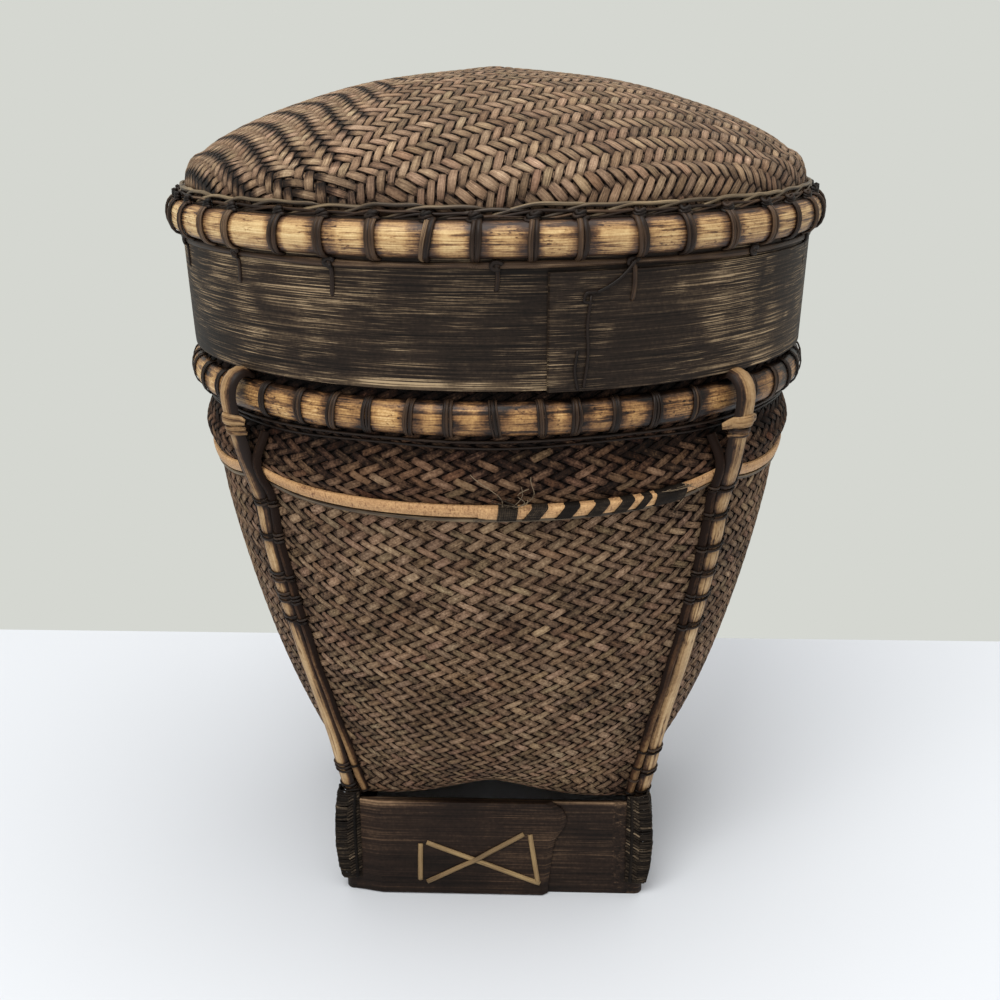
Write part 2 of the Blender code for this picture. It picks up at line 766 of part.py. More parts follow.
def strut_ties(material):
    """A cane band that draws each strut to the wall below the mouth hoop."""
    stations = strut_profile()
    side_half = STRUT_WIDTH / 2 + GAP
    for number, azimuth in enumerate(CORNERS, start=1):
        rings = []
        for share in (0.0, 0.5, 1.0):
            foot_z = THROAT_Z - TIE_DROP + TIE_HEIGHT * share
            front_z = foot_z + TIE_SLANT
            wall_r = wall_radius(azimuth, min(foot_z, THROAT_Z)) + 2 * GAP
            back, _ = between(stations, front_z)
            front_r = back.x + STRUT_THICKNESS + 2 * GAP
            flare = side_half + TIE_SPREAD * (0.5 + 0.5 * share)
            out = outward(azimuth)
            side = sideways(azimuth)
            outline = (
                (-flare, wall_r, foot_z),
                (-side_half - TIE_THICKNESS, front_r, front_z),
                (0.0, front_r + TIE_THICKNESS, front_z),
                (side_half + TIE_THICKNESS, front_r, front_z),
                (flare, wall_r, foot_z),
                (flare - TIE_THICKNESS, wall_r, foot_z),
                (side_half, front_r - TIE_THICKNESS, front_z),
                (side_half * 0.8, front_r, front_z),
                (-side_half * 0.8, front_r, front_z),
                (-side_half, front_r - TIE_THICKNESS, front_z),
                (-flare + TIE_THICKNESS, wall_r, foot_z),
            )
            rings.append([side * s + out * r + Vector((0, 0, z)) for s, r, z in outline])
        loft(f"strut_tie_{number}", rings, material)


def foot_outline(offset):
    """Plan points of a rounded square, from the middle of the front round towards +X."""
    half = FOOT_HALF_WIDTH + offset
    radius = max(FOOT_CORNER_RADIUS + offset, GAP)
    points = []
    for quarter in range(4):
        corner = 45 + 90 * quarter
        turn = math.radians(corner)
        middle = Vector((math.sin(turn), -math.cos(turn))) * ((half - radius) * math.sqrt(2))
        for swing in (-45, -15, 15, 45):
            a = math.radians(corner + swing)
            points.append(middle + Vector((math.sin(a), -math.cos(a))) * radius)
    return points


def foot_band(material):
    """One band bent round the foot; its outer ply covers its inner end on the front."""
    outer = foot_outline(0.0)
    inner = foot_outline(-FOOT_THICKNESS)
    lift = FOOT_THICKNESS + PLY_GAP
    y_outer = -FOOT_HALF_WIDTH
    y_inner = y_outer + FOOT_THICKNESS
    stations = [(Vector((FOOT_LAP_START, y_outer)), Vector((FOOT_LAP_START, y_inner)), 0.0)]
    stations += [(a, b, 0.0) for a, b in zip(outer, inner)]
    ramp = FOOT_LAP_START - FOOT_LAP_RAMP
    for x, shift, trim in (
        (ramp, 0.0, 0.0),
        (FOOT_LAP_START - lift, lift, 0.0),
        (FOOT_LAP_END - FOOT_LAP_ROUND, lift, 0.0),
        (FOOT_LAP_END - FOOT_LAP_ROUND * 0.3, lift, FOOT_LAP_ROUND * 0.3),
        (FOOT_LAP_END, lift, FOOT_LAP_ROUND),
    ):
        stations.append((Vector((x, y_outer - shift)), Vector((x, y_inner - shift)), trim))
    rings = []
    for a, b, trim in stations:
        low = trim * 0.6
        high = FOOT_HEIGHT - trim
        rings.append([(a.x, a.y, low), (a.x, a.y, high), (b.x, b.y, high), (b.x, b.y, low)])
    return loft("foot_band", rings, material)


def foot_bindings(material):
    """A pad of bound fibre over each corner of the foot, up to the strut's end."""
    flat = FOOT_HALF_WIDTH + GAP
    radius = FOOT_CORNER_RADIUS + GAP
    edge = flat - BINDING_FLAT
    knee = flat - radius
    corner_in = knee * math.sqrt(2) + radius
    diagonal = Vector((math.sin(math.radians(45)), math.cos(math.radians(45))))
    levels = (
        (BINDING_BOTTOM, 0.35),
        (BINDING_BOTTOM + BINDING_FLAT / 2, 0.85),
        ((BINDING_BOTTOM + FOOT_HEIGHT) / 2, 1.0),
        (FOOT_HEIGHT + GAP, 0.95),
        (FOOT_HEIGHT + BINDING_TOP_RISE, 0.7),
    )
    for number, azimuth in enumerate(CORNERS, start=1):
        rings = []
        for height, fullness in levels:
            bulge = BINDING_BULGE * fullness
            inner = [(edge, flat), (knee, flat), None, (flat, knee), (flat, edge)]
            outer = [
                (flat + BINDING_EDGE, edge),
                (flat + bulge * BINDING_SHOULDER, knee),
                None,
                (knee, flat + bulge * BINDING_SHOULDER),
                (edge, flat + BINDING_EDGE),
            ]
            ring = []
            for point, reach in [(p, corner_in) for p in inner] + [(p, corner_in + bulge) for p in outer]:
                plan = diagonal * reach if point is None else Vector(point)
                turn = math.radians(azimuth - 45)
                front = Vector((plan.x, -plan.y))
                x = front.x * math.cos(turn) - front.y * math.sin(turn)
                y = front.x * math.sin(turn) + front.y * math.cos(turn)
                ring.append((x, y, height))
            rings.append(ring)
        loft(f"foot_binding_{number}", rings, material)


def foot_stitch(material):
    """Bow-tie stitch: one strand whose second slant hops over the first."""
    y = -(FOOT_HALF_WIDTH + FOOT_THICKNESS + PLY_GAP + GAP + STITCH_RADIUS)
    hop = 2 * STITCH_RADIUS + GAP * 2
    left = FOOT_LAP_START + STITCH_LEFT_INSET
    right = FOOT_LAP_END - STITCH_RIGHT_INSET
    high = STITCH_LOW + STITCH_HEIGHT
    middle_x = (left + right) / 2
    middle_z = STITCH_LOW + STITCH_HEIGHT / 2
    run = (right - left) / 8
    rise = STITCH_HEIGHT / 8
    points = [
        Vector((left, y, STITCH_LOW)),
        Vector((left, y, high)),
        Vector((right, y, STITCH_LOW)),
        Vector((right, y, high)),
        Vector((middle_x + run, y, middle_z + rise)),
        Vector((middle_x, y - hop, middle_z)),
        Vector((middle_x - run, y, middle_z - rise)),
    ]
    return strand("foot_stitch", points, STITCH_RADIUS, material)


def collar_radius(height):
    """Outer radius of the lid's collar, which flares slightly towards its top."""
    share = (height - COLLAR_BOTTOM) / (COLLAR_TOP - COLLAR_BOTTOM)
    return COLLAR_BORE + COLLAR_THICKNESS + COLLAR_FLARE * share


def lid_collar(material):
    """A bent bamboo band whose outer end laps over its inner end near the front."""
    lift = COLLAR_THICKNESS + PLY_GAP
    lap_top = LID_HOOP_BOTTOM - COLLAR_LAP_TOP_DROP
    lap_end = 1 + COLLAR_LAP_STEPS
    stations = [(i, lap_top, lift) for i in range(1, lap_end + 1)]
    stations.append((lap_end + COLLAR_RAMP_STEPS, lap_top, 0.0))
    stations += [(i, COLLAR_TOP, 0.0) for i in range(lap_end + 1, RING_STEPS + lap_end + 1)]
    rings = []
    for step, top, shift in stations:
        azimuth = step * FULL_TURN / RING_STEPS
        high = collar_radius(top) + shift
        low = collar_radius(COLLAR_BOTTOM) + shift
        rings.append([
            place(low - COLLAR_THICKNESS, azimuth, COLLAR_BOTTOM),
            place(low, azimuth, COLLAR_BOTTOM),
            place(high, azimuth, top),
            place(high - COLLAR_THICKNESS, azimuth, top),
        ])
    return loft("lid_collar", rings, material)


def lid_hoops(cane):
    middle = (LID_HOOP_BOTTOM + LID_HOOP_TOP) / 2
    section = half_round(LID_HOOP_BACK, middle, LID_HOOP_HEIGHT, LID_HOOP_THICKNESS)
    turned("lid_hoop", section, cane)
    middle = LID_INNER_HOOP_BOTTOM + LID_INNER_HOOP_HEIGHT / 2
    back = dome_radius() - DOME_WALL - 2 * GAP
    section = half_round(back, middle, LID_INNER_HOOP_HEIGHT, -LID_INNER_HOOP_THICKNESS)
    turned("lid_inner_hoop", section, cane)


def dome_radius():
    """Outer radius of the dome's straight hem, inside the collar."""
    return collar_radius(LID_HOOP_BOTTOM) - COLLAR_THICKNESS - GAP


def lid_dome(material):
    rim = dome_radius()
    base = LID_HOOP_TOP
    rise_at = smooth_curve([
        (0.0, DOME_RISE),
        (rim - CROWN_INSET, CROWN_RISE),
        (rim - SLOPE_INSET, SLOPE_RISE),
        (rim - HIP_INSET, HIP_RISE),
        (rim - SHOULDER_INSET, SHOULDER_RISE),
    ])
    hip = rim - HIP_INSET
    rings = [[place(DOME_EYE, a, base + DOME_RISE) for a in ring_azimuths()]]
    for row in range(1, DOME_WEAVE_ROWS):
        radius = hip * row / DOME_WEAVE_ROWS
        height = base + rise_at(radius)
        rings.append([
            place(radius, a, height - sunk(i + row, DOME_WEAVE_SINK))
            for i, a in enumerate(ring_azimuths())
        ])
    shoulder = rim - SHOULDER_INSET
    profile = [(hip, base + rise_at(hip)), (shoulder, base + SHOULDER_RISE)]
    for angle in (30, 60):
        a = math.radians(angle)
        radius = shoulder + SHOULDER_INSET * math.sin(a)
        profile.append((radius, base + SHOULDER_RISE * math.cos(a) ** 0.8))
    profile.append((rim, base + EDGE_CORD_RADIUS))
    profile.append((rim, LID_HOOP_BOTTOM + GAP))
    for radius, height in profile:
        rings.append([place(radius, a, height) for a in ring_azimuths()])
    dome = loft("lid_dome", rings, material, capped=False)
    close_first_ring(dome)
    add_shell(dome, DOME_WALL)


def lid_edge_cord(material):
    radius = dome_radius() + GAP + EDGE_CORD_RADIUS
    height = LID_HOOP_TOP + GAP + EDGE_CORD_RADIUS
    return torus("lid_edge_cord", radius, height, EDGE_CORD_RADIUS, material)


def lid_lacing(material):
    reach = GAP + LASHING_RADIUS
    middle = (LID_HOOP_BOTTOM + LID_HOOP_TOP) / 2
    hoop = (LID_HOOP_BACK, middle, LID_HOOP_HEIGHT, LID_HOOP_THICKNESS)
    cord_outer = dome_radius() + GAP + 2 * EDGE_CORD_RADIUS
    groove = (cord_outer + 2 * reach, LID_HOOP_TOP + reach)
    turn = (LID_HOOP_BACK + LID_HOOP_THICKNESS / 2, LID_HOOP_BOTTOM - reach)
    return lacing("lid_lacing", LID_LASHINGS, hoop, groove, turn, material)


def on_collar_lap(azimuth):
    """True where the collar's outer ply covers its inner one."""
    step = FULL_TURN / RING_STEPS
    return step * 0.5 < azimuth < step * (COLLAR_LAP_STEPS + 2)


def collar_stitching(material):
    """A thin cord round the collar below the hoop, with short stitches hanging from it."""
    points = []
    height = LID_HOOP_BOTTOM - COLLAR_CORD_DROP
    low = height - COLLAR_STITCH_LENGTH
    reach = GAP * 2 + COLLAR_CORD_RADIUS
    spacing = FULL_TURN / COLLAR_STITCHES
    spread = math.degrees(COLLAR_STITCH_HALF_WIDTH / COLLAR_BORE)
    run = [(share * spacing, height) for share in (0.3, 0.5, 0.7)]
    drop = [(-spread, height), (-spread * 0.6, low), (spread * 0.6, low), (spread, height)]
    for i in range(COLLAR_STITCHES):
        start = COLLAR_STITCH_AZIMUTH + i * spacing
        for offset, z in drop + run:
            azimuth = start + offset
            lap = COLLAR_THICKNESS + PLY_GAP if on_collar_lap(azimuth) else 0.0
            points.append(place(collar_radius(z) + reach + lap, azimuth, z))
    print_gap("collar_stitching", points, COLLAR_CORD_RADIUS)
    return strand("collar_stitching", points, COLLAR_CORD_RADIUS, material)


def seam_stitch(material):
    """Long stitch through the collar's lap."""
    top = LID_HOOP_BOTTOM - SEAM_STITCH_TOP_DROP
    low = COLLAR_BOTTOM + SEAM_STITCH_RADIUS
    lap = COLLAR_THICKNESS + PLY_GAP
    reach = GAP + SEAM_STITCH_RADIUS
    spread = math.degrees(SEAM_STITCH_SPREAD / COLLAR_BORE)
    points = []
    for side, z in ((-0.5, top), (-1, low), (1, low), (0.5, top)):
        radius = collar_radius(z) + lap + reach
        points.append(place(radius, SEAM_STITCH_AZIMUTH + side * spread, z))
    return strand("seam_stitch", points, SEAM_STITCH_RADIUS, material)


clear_scene()
BASKET = bpy.data.collections.new("rice_basket")
bpy.context.scene.collection.children.link(BASKET)

weave = make_material("woven_strips", (0.20, 0.15, 0.11), 0.60)
cane = make_material("split_cane", (0.56, 0.38, 0.20), 0.42)
lashing = make_material("lashing_cane", (0.07, 0.05, 0.035), 0.50)
bamboo = make_material("dark_bamboo", (0.10, 0.075, 0.055), 0.50)
fibre = make_material("bound_fibre", (0.05, 0.04, 0.03), 0.75)
tan_cane = make_material("stitch_cane", (0.42, 0.32, 0.19), 0.50)

woven_body(weave)
neck_liner(bamboo)
neck_rim(bamboo)
mouth_hoops(cane)
mouth_lacing(lashing)
mouth_cord(lashing)
belt(cane)
belt_backing(lashing)
belt_wraps(lashing)
corner_struts(cane)
side_strips(bamboo)
strut_ties(cane)
foot_band(bamboo)
foot_bindings(fibre)
foot_stitch(tan_cane)
lid_dome(weave)
lid_hoops(cane)
lid_collar(bamboo)
lid_edge_cord(lashing)
lid_lacing(lashing)
collar_stitching(lashing)
seam_stitch(lashing)
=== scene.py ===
"""Looks of the lidded rice basket: woven strips, cane hoops, lashings, bindings and their finish.

Lengths are millimetres here and metres in the meshes. +Z is up and the front faces -Y, in the
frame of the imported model. Azimuths are degrees from the front, positive towards +X.
"""
import math
from collections import namedtuple

import bpy
import numpy as np
from mathutils import Matrix, Vector


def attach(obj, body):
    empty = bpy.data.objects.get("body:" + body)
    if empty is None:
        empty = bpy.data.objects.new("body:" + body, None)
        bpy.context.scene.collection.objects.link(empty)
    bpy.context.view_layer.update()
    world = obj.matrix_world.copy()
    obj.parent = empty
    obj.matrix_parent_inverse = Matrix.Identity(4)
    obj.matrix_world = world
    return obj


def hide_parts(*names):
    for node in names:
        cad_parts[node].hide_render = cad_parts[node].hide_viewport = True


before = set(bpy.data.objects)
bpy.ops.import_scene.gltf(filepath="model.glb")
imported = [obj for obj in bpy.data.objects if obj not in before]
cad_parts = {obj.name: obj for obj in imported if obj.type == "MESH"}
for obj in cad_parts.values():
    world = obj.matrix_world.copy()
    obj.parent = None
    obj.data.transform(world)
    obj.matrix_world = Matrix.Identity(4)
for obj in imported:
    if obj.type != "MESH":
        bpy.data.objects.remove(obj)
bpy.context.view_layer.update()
RANDOM = np.random.default_rng(7)

MM = 0.001
UP = np.array([0.0, 0.0, 1.0])
FULL_TURN = 360.0
HALF_WAY = 22.5
CORNERS = (45.0, 135.0, 225.0, 315.0)

# Foot: a square bent band
FOOT_HALF = 55.9
FOOT_HEIGHT = 38.7
FOOT_THICKNESS = 2.2
FOOT_CORNER_RADIUS = 3.0
FOOT_PLY = 2.4

# Wall of the woven body: face radius, face height, corner radius and corner height
WALL_STATIONS = np.array([
    (52.5, 47.6, 71.65, 39.3),
    (60.0, 50.8, 73.65, 41.0),
    (65.2, 53.4, 75.25, 45.6),
    (68.0, 55.4, 77.05, 52.4),
    (75.6, 65.0, 80.05, 65.0),
    (90.5, 106.0, 92.0, 106.0),
    (100.8, 150.0, 102.4, 150.0),
    (103.7, 168.0, 105.0, 168.0),
    (107.0, 177.0, 107.6, 177.0),
    (104.4, 187.0, 104.4, 187.0),
    (106.2, 192.0, 106.2, 192.0),
    (106.2, 240.0, 106.2, 240.0),
])
CORNER_SPREAD = 1.3
BASE_FACE = 40.0
BASE_CORNER = 54.05
BASE_HEIGHT = 46.0
BELT_Z = 168.0
NECK_Z = 192.0
NECK_TOP = 240.0

# Hoops: back is the radius of the flat side, and thickness runs inwards when negative
Hoop = namedtuple("Hoop", "back middle height thickness")
MOUTH_HOOP = Hoop(106.5, 197.5, 10.5, 4.0)
INNER_HOOP = Hoop(102.0, 197.5, 9.0, -3.0)
LID_HOOP = Hoop(111.3, 250.4, 10.4, 3.7)
LID_INNER_HOOP = Hoop(106.2, 249.1, 11.0, -4.0)
HOOP_FULLNESS = 0.85

# Dome of the lid: height over radius, then a quarter curve down to the hem
CROWN = np.array([(0.0, 297.2), (39.8, 292.7), (69.8, 284.9), (95.8, 274.0), (103.0, 269.0)])
SHOULDER_INSET = 5.8
SHOULDER_RISE = 13.4
SHOULDER_FULLNESS = 0.8
HEM_RADIUS = 108.8
HEM_Z = 255.6
HEM_BOTTOM = 244.8


# Curves and places

def cubic(values, tangents, i, share, step):
    """The smooth way from knot i to the next one, at a share of the step between them."""
    back = 1 - share
    rise = values[i] * (1 + 2 * share) * back ** 2 + values[i + 1] * share * share * (3 - 2 * share)
    return rise + (tangents[i] * share * back ** 2 - tangents[i + 1] * share * share * back) * step


def smooth_curve(xs, ys):
    """A function through knots in order of x that never overshoots them."""
    xs, ys = np.asarray(xs, float), np.asarray(ys, float)
    steps = np.diff(xs)
    slopes = np.diff(ys) / steps
    tangents = np.concatenate([slopes[:1], 0 * slopes[1:], slopes[-1:]])
    for i in range(1, len(steps)):
        left, right = slopes[i - 1], slopes[i]
        if left * right > 0:
            w_left = 2 * steps[i] + steps[i - 1]
            w_right = steps[i] + 2 * steps[i - 1]
            tangents[i] = (w_left + w_right) / (w_left / left + w_right / right)

    def value(x):
        i = np.clip(np.searchsorted(xs, x) - 1, 0, len(steps) - 1)
        return cubic(ys, tangents, i, np.clip((x - xs[i]) / steps[i], 0, 1), steps[i])

    return value


def reach(path):
    """Length along a path at each of its points."""
    return np.concatenate([[0], np.cumsum(np.linalg.norm(np.diff(path, axis=0), axis=1))])


def spline(points, steps):
    """A smooth curve through a few points, read at evenly spread places."""
    knots = reach(points)
    reads = np.linspace(0, knots[-1], steps)
    tangents = np.gradient(points, knots, axis=0)
    i = np.clip(np.searchsorted(knots, reads) - 1, 0, len(points) - 2)
    step = (knots[i + 1] - knots[i])[:, None]
    return cubic(points, tangents, i, (reads - knots[i])[:, None] / step, step)


def all_round(steps):
    return np.linspace(0, FULL_TURN, steps, endpoint=False)


def turning(first, last, steps):
    return np.radians(np.linspace(first, last, steps))


def wave(angle):
    return np.sin(np.radians(angle))


def outward(azimuth):
    a = np.radians(np.asarray(azimuth, float))
    return np.stack([np.sin(a), -np.cos(a), np.zeros_like(a)], -1)


def sideways(azimuth):
    return outward(np.asarray(azimuth) + 90)


def heading(x, y):
    return np.degrees(np.arctan2(x, -y))


def place(radius, azimuth, height):
    radius, azimuth, height = np.broadcast_arrays(radius, azimuth, height)
    return outward(azimuth) * radius[..., None] + UP * height[..., None]


def unit(vectors):
    return vectors / np.maximum(np.linalg.norm(vectors, axis=-1, keepdims=True), 1e-12)


WALL_LEVELS = WALL_STATIONS[:, 3]
FACE_AT, FACE_HEIGHT_AT, CORNER_AT = (smooth_curve(WALL_LEVELS, line) for line in WALL_STATIONS.T[:3])


def off_corner(azimuth):
    """Degrees between an azimuth and the nearest corner."""
    return np.abs(np.asarray(azimuth) % 90 - 45)


def corner_share(azimuth):
    off_face = np.radians((np.asarray(azimuth) + 45) % 90 - 45)
    return (1 / np.cos(off_face) - 1) / (math.sqrt(2) - 1)


def wall_radius(azimuth, level):
    face = FACE_AT(level)
    return face + (CORNER_AT(level) - face) * corner_share(azimuth)


def wall_height(azimuth, level):
    face = FACE_HEIGHT_AT(level)
    return face + (level - face) * np.abs(wave(2 * azimuth)) ** CORNER_SPREAD


def wall_point(azimuth, level):
    return place(wall_radius(azimuth, level), azimuth, wall_height(azimuth, level))


def wall_normal(azimuth, level):
    turn = wall_point(azimuth + 0.5, level) - wall_point(azimuth - 0.5, level)
    return unit(np.cross(turn, wall_point(azimuth, level + 0.4) - wall_point(azimuth, level - 0.4)))


# Sheaves of strips and strands

GRAIN_STRAY = 3
UNDERSIDE_SHADE = 0.6
STEEP = 0.9


class Sheaf:
    """Closed strips and strands gathered into one mesh, each point with its grain and tint."""

    def __init__(self):
        self.points, self.grain, self.tint, self.faces = [], [], [], []
        self.size = 0

    def add(self, rings, along, across, edge=0.0, lift=0.0, warm=0.0, closed=False, mark=None):
        """Skin rings of points. along runs over the rings and across round each ring."""
        rings = np.asarray(rings, float)
        shape = rings.shape[:2]

        def corners_of(table):
            first, ahead = (table, np.roll(table, -1, 0)) if closed else (table[:-1], table[1:])
            return first, np.roll(first, -1, 1), np.roll(ahead, -1, 1), ahead

        def per_ring(values):
            values = np.asarray(values, float)
            return np.broadcast_to(values[:, None] if values.ndim == 1 else values, shape)

        a, b, c, d = corners_of(rings - rings.reshape(-1, 3).mean(0))
        turned = (a * (np.cross(b, c) + np.cross(c, d))).sum() < 0
        mark = per_ring(RANDOM.random() if mark is None else mark)
        along = per_ring(along) * MM + RANDOM.random() * GRAIN_STRAY
        grain = np.stack([along, np.broadcast_to(across, shape) * MM, mark], -1)
        tint = np.stack([np.broadcast_to(edge, shape), per_ring(lift), per_ring(warm)], -1)
        for store, table in ((self.points, rings * MM), (self.grain, grain), (self.tint, tint)):
            store.append((table[:, ::-1] if turned else table).reshape(-1, 3))
        index = self.size + np.arange(shape[0] * shape[1]).reshape(shape)
        self.faces.extend(np.stack(corners_of(index), -1).reshape(-1, 4).tolist())
        if not closed:
            self.faces += [index[0][::-1].tolist(), index[-1].tolist()]
        self.size += index.size

    def build(self, name, material, node=None, body="basket", sharp=None):
        """One piece of the object, riding a body and standing in for a node of the model."""
        mesh = bpy.data.meshes.new(name)
        mesh.from_pydata(np.concatenate(self.points).tolist(), [], self.faces)
        for title, values in (("grain", self.grain), ("tint", self.tint)):
            field = mesh.attributes.new(title, "FLOAT_VECTOR", "POINT")
            field.data.foreach_set("vector", np.concatenate(values).astype(np.float32).ravel())
        mesh.materials.append(material)
        mesh.shade_smooth()
        if sharp:
            mesh.set_sharp_from_angle(angle=math.radians(sharp))
        piece = bpy.data.objects.new(name, mesh)
        bpy.context.scene.collection.objects.link(piece)
        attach(piece, body)
        if node:
            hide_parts(node)


def strand(sheaf, path, radius, flat=1.0, out=None, sides=6, closed=False, lift=0.0):
    """A round or flattened strand along a path. flat is its thickness over its width."""
    along = unit(np.roll(path, -1, 0) - np.roll(path, 1, 0) if closed else np.gradient(path, axis=0))
    if out is None:
        out = np.tile(UP, (len(path), 1))
        steep = np.abs(along[:, 2]) > STEEP
        out[steep] = outward(heading(path[steep, 0], path[steep, 1]))
    out = unit(out - along * (out * along).sum(-1, keepdims=True))
    radius = np.broadcast_to(np.asarray(radius, float), len(path))
    turn = np.linspace(0, 2 * math.pi, sides, endpoint=False) + math.pi / sides
    spread = np.cross(out, along)[:, None] * np.cos(turn)[None, :, None]
    rise = out[:, None] * np.sin(turn)[None, :, None] * flat
    rings = path[:, None] + (spread + rise) * radius[:, None, None]
    edge = np.clip(-np.sin(turn), 0, 1) * UNDERSIDE_SHADE
    sheaf.add(rings, reach(path), turn * radius.mean(), edge, lift, closed=closed)


def half_round(hoop, steps=15):
    """Section of a split cane: flat at the back, with softened rims."""
    angles = turning(90, -90, steps)
    radius = hoop.back + hoop.thickness * np.cos(angles) ** HOOP_FULLNESS
    return np.stack([radius, hoop.middle + hoop.height / 2 * np.sin(angles)], -1)


def ring(sheaf, section, steps, wobble=0.0, shade=None, warm=0.0):
    """A section (radius, height) turned round the axis from the back.

    shade is a function of azimuth and height that lightens or darkens it.
    """
    azimuth = np.linspace(-180, 180, steps, endpoint=False)
    radius, height = section.T
    sway = wobble * (wave(azimuth * 3 + 40) + 0.6 * wave(azimuth * 7 + 10))
    rings = place(radius + sway[:, None], azimuth[:, None], height)
    half = np.ptp(height) / 2
    edge = np.clip(np.abs(height - height.min() - half) / half, 0, 1) ** 4
    lift = shade(azimuth[:, None], height) if shade else 0.0
    sheaf.add(rings, np.radians(azimuth) * radius.mean(), reach(section), edge, lift, warm, closed=True)


# Materials

RELIEF_DEPTH = 0.00012
COAT_ROUGHNESS = 0.3
STREAK_STEP = 61.0
FINE_STEP = 23.0
FLECK_STEPS = (11.0, 7.0)
FINE_RELIEF = 0.6
MARK_SEED = 719.0
PATCH_LEVEL = 0.47
PATCH_SHARPNESS = 9.0


def srgb(*values):
    linear = [v / 255 / 12.92 if v / 255 <= 0.04045 else ((v / 255 + 0.055) / 1.055) ** 2.4 for v in values]
    return (*linear, 1.0)


def set_inputs(tree, node, values):
    """Give inputs their values; an output of another node is linked instead."""
    for title, value in values.items():
        if isinstance(value, bpy.types.NodeSocket):
            tree.links.new(value, node.inputs[title])
        else:
            node.inputs[title].default_value = value


def add_node(tree, kind, values, **settings):
    node = tree.nodes.new("ShaderNode" + kind)
    for key, value in settings.items():
        setattr(node, key, value)
    set_inputs(tree, node, values)
    return node


def new_material(name):
    material = bpy.data.materials.new(name)
    material.use_nodes = True
    return material, material.node_tree, material.node_tree.nodes["Principled BSDF"]


def cane_material(name, stops, streak, fine, blotch, strand_tone, edge, roughness, bump,
                  warm_tint=(150, 95, 60), coat=0.0, flecks=(), gloss=0.3, speckle=(1300, 0.0), hues=0.0):
    """Fibrous cane or bamboo: streaks run along the grain and vary from strip to strip.

    streak and fine are (per metre along, per metre across, weight), blotch is (per metre,
    weight). Each of flecks is (per metre along, per metre across, threshold, sharpness,
    darkening, patches per metre); darkening below zero makes light flecks. speckle is (per
    metre, weight), and hues is how far the colour strays from strand to strand.
    """
    material, tree, shader = new_material(name)

    def calc(operation, *values):
        return add_node(tree, "Math", dict(enumerate(values)), operation=operation).outputs[0]

    def held(value):
        return calc("MINIMUM", calc("MAXIMUM", value, 0.0), 1.0)

    def noise(vector, scale, detail, rough=0.55):
        inputs = {"Vector": vector, "Scale": scale, "Detail": detail, "Roughness": rough}
        return add_node(tree, "TexNoise", inputs).outputs[0]

    def stretched(along, across, mark_step):
        inputs = {0: grain, 1: (along, across, mark_step)}
        return add_node(tree, "VectorMath", inputs, operation="MULTIPLY").outputs[0]

    def multiplied(share, first, second):
        inputs = {0: share, 6: first, 7: second}
        return add_node(tree, "Mix", inputs, data_type="RGBA", blend_type="MULTIPLY").outputs[2]

    grain, tint = [add_node(tree, "Attribute", {}, attribute_name=title).outputs["Vector"]
                   for title in ("grain", "tint")]
    rim, lift, warm = add_node(tree, "SeparateXYZ", {0: tint}).outputs
    mark = add_node(tree, "SeparateXYZ", {0: grain}).outputs[2]
    where = add_node(tree, "TexCoord", {}).outputs["Object"]
    stray = add_node(tree, "TexWhiteNoise", {"W": calc("MULTIPLY", mark, MARK_SEED)}, noise_dimensions="1D")
    streak_noise = noise(stretched(*streak[:2], STREAK_STEP), 1.0, 3.0)
    fine_noise = noise(stretched(*fine[:2], FINE_STEP), 1.0, 2.0, 0.7)
    blotch_noise = noise(where, blotch[0], 3.0)

    value = 0.5 - (streak[2] + fine[2] + blotch[1] + strand_tone + speckle[1]) / 2
    parts = [(streak_noise, streak[2]), (fine_noise, fine[2]), (blotch_noise, blotch[1]),
             (stray.outputs["Value"], strand_tone)]
    if speckle[1]:
        parts.append((noise(where, speckle[0], 2.0), speckle[1]))
    for part, weight in parts:
        value = calc("MULTIPLY_ADD", part, weight, value)
    # rim is the tint's edge part, darkened by edge: painted shade at strand undersides, strip sides and float
    # ends, and darker rims of canes
    value = calc("MULTIPLY_ADD", rim, -edge, calc("ADD", value, lift))
    for count, (along, across, threshold, sharpness, darkening, patches) in enumerate(flecks):
        fleck_noise = noise(stretched(along, across, FLECK_STEPS[0] + FLECK_STEPS[1] * count), 1.0, 4.0)
        over = held(calc("MULTIPLY", calc("SUBTRACT", fleck_noise, threshold), sharpness))
        if patches:
            patch = calc("SUBTRACT", noise(where, patches, 2.0), PATCH_LEVEL)
            over = calc("MULTIPLY", over, held(calc("MULTIPLY", patch, PATCH_SHARPNESS)))
        value = calc("MULTIPLY_ADD", over, -darkening, value)

    ramp = add_node(tree, "ValToRGB", {0: value})
    elements = ramp.color_ramp.elements
    while len(elements) < len(stops[0]):
        elements.new(0.5)
    for element, position, colour in zip(elements, *stops):
        element.position = position
        element.color = srgb(*colour)
    colour = multiplied(held(warm), ramp.outputs["Color"], srgb(*warm_tint))
    if hues:
        colour = multiplied(hues, colour, stray.outputs["Color"])
    both = calc("MULTIPLY_ADD", fine_noise, FINE_RELIEF, streak_noise)
    relief = add_node(tree, "Bump", {"Strength": bump, "Distance": RELIEF_DEPTH, "Height": both})
    set_inputs(tree, shader, {
        "Base Color": colour,
        "Roughness": calc("MULTIPLY_ADD", blotch_noise, roughness[1] - roughness[0], roughness[0]),
        "Specular IOR Level": gloss, "Coat Weight": coat, "Coat Roughness": COAT_ROUGHNESS,
        "Normal": relief.outputs["Normal"]})
    return material


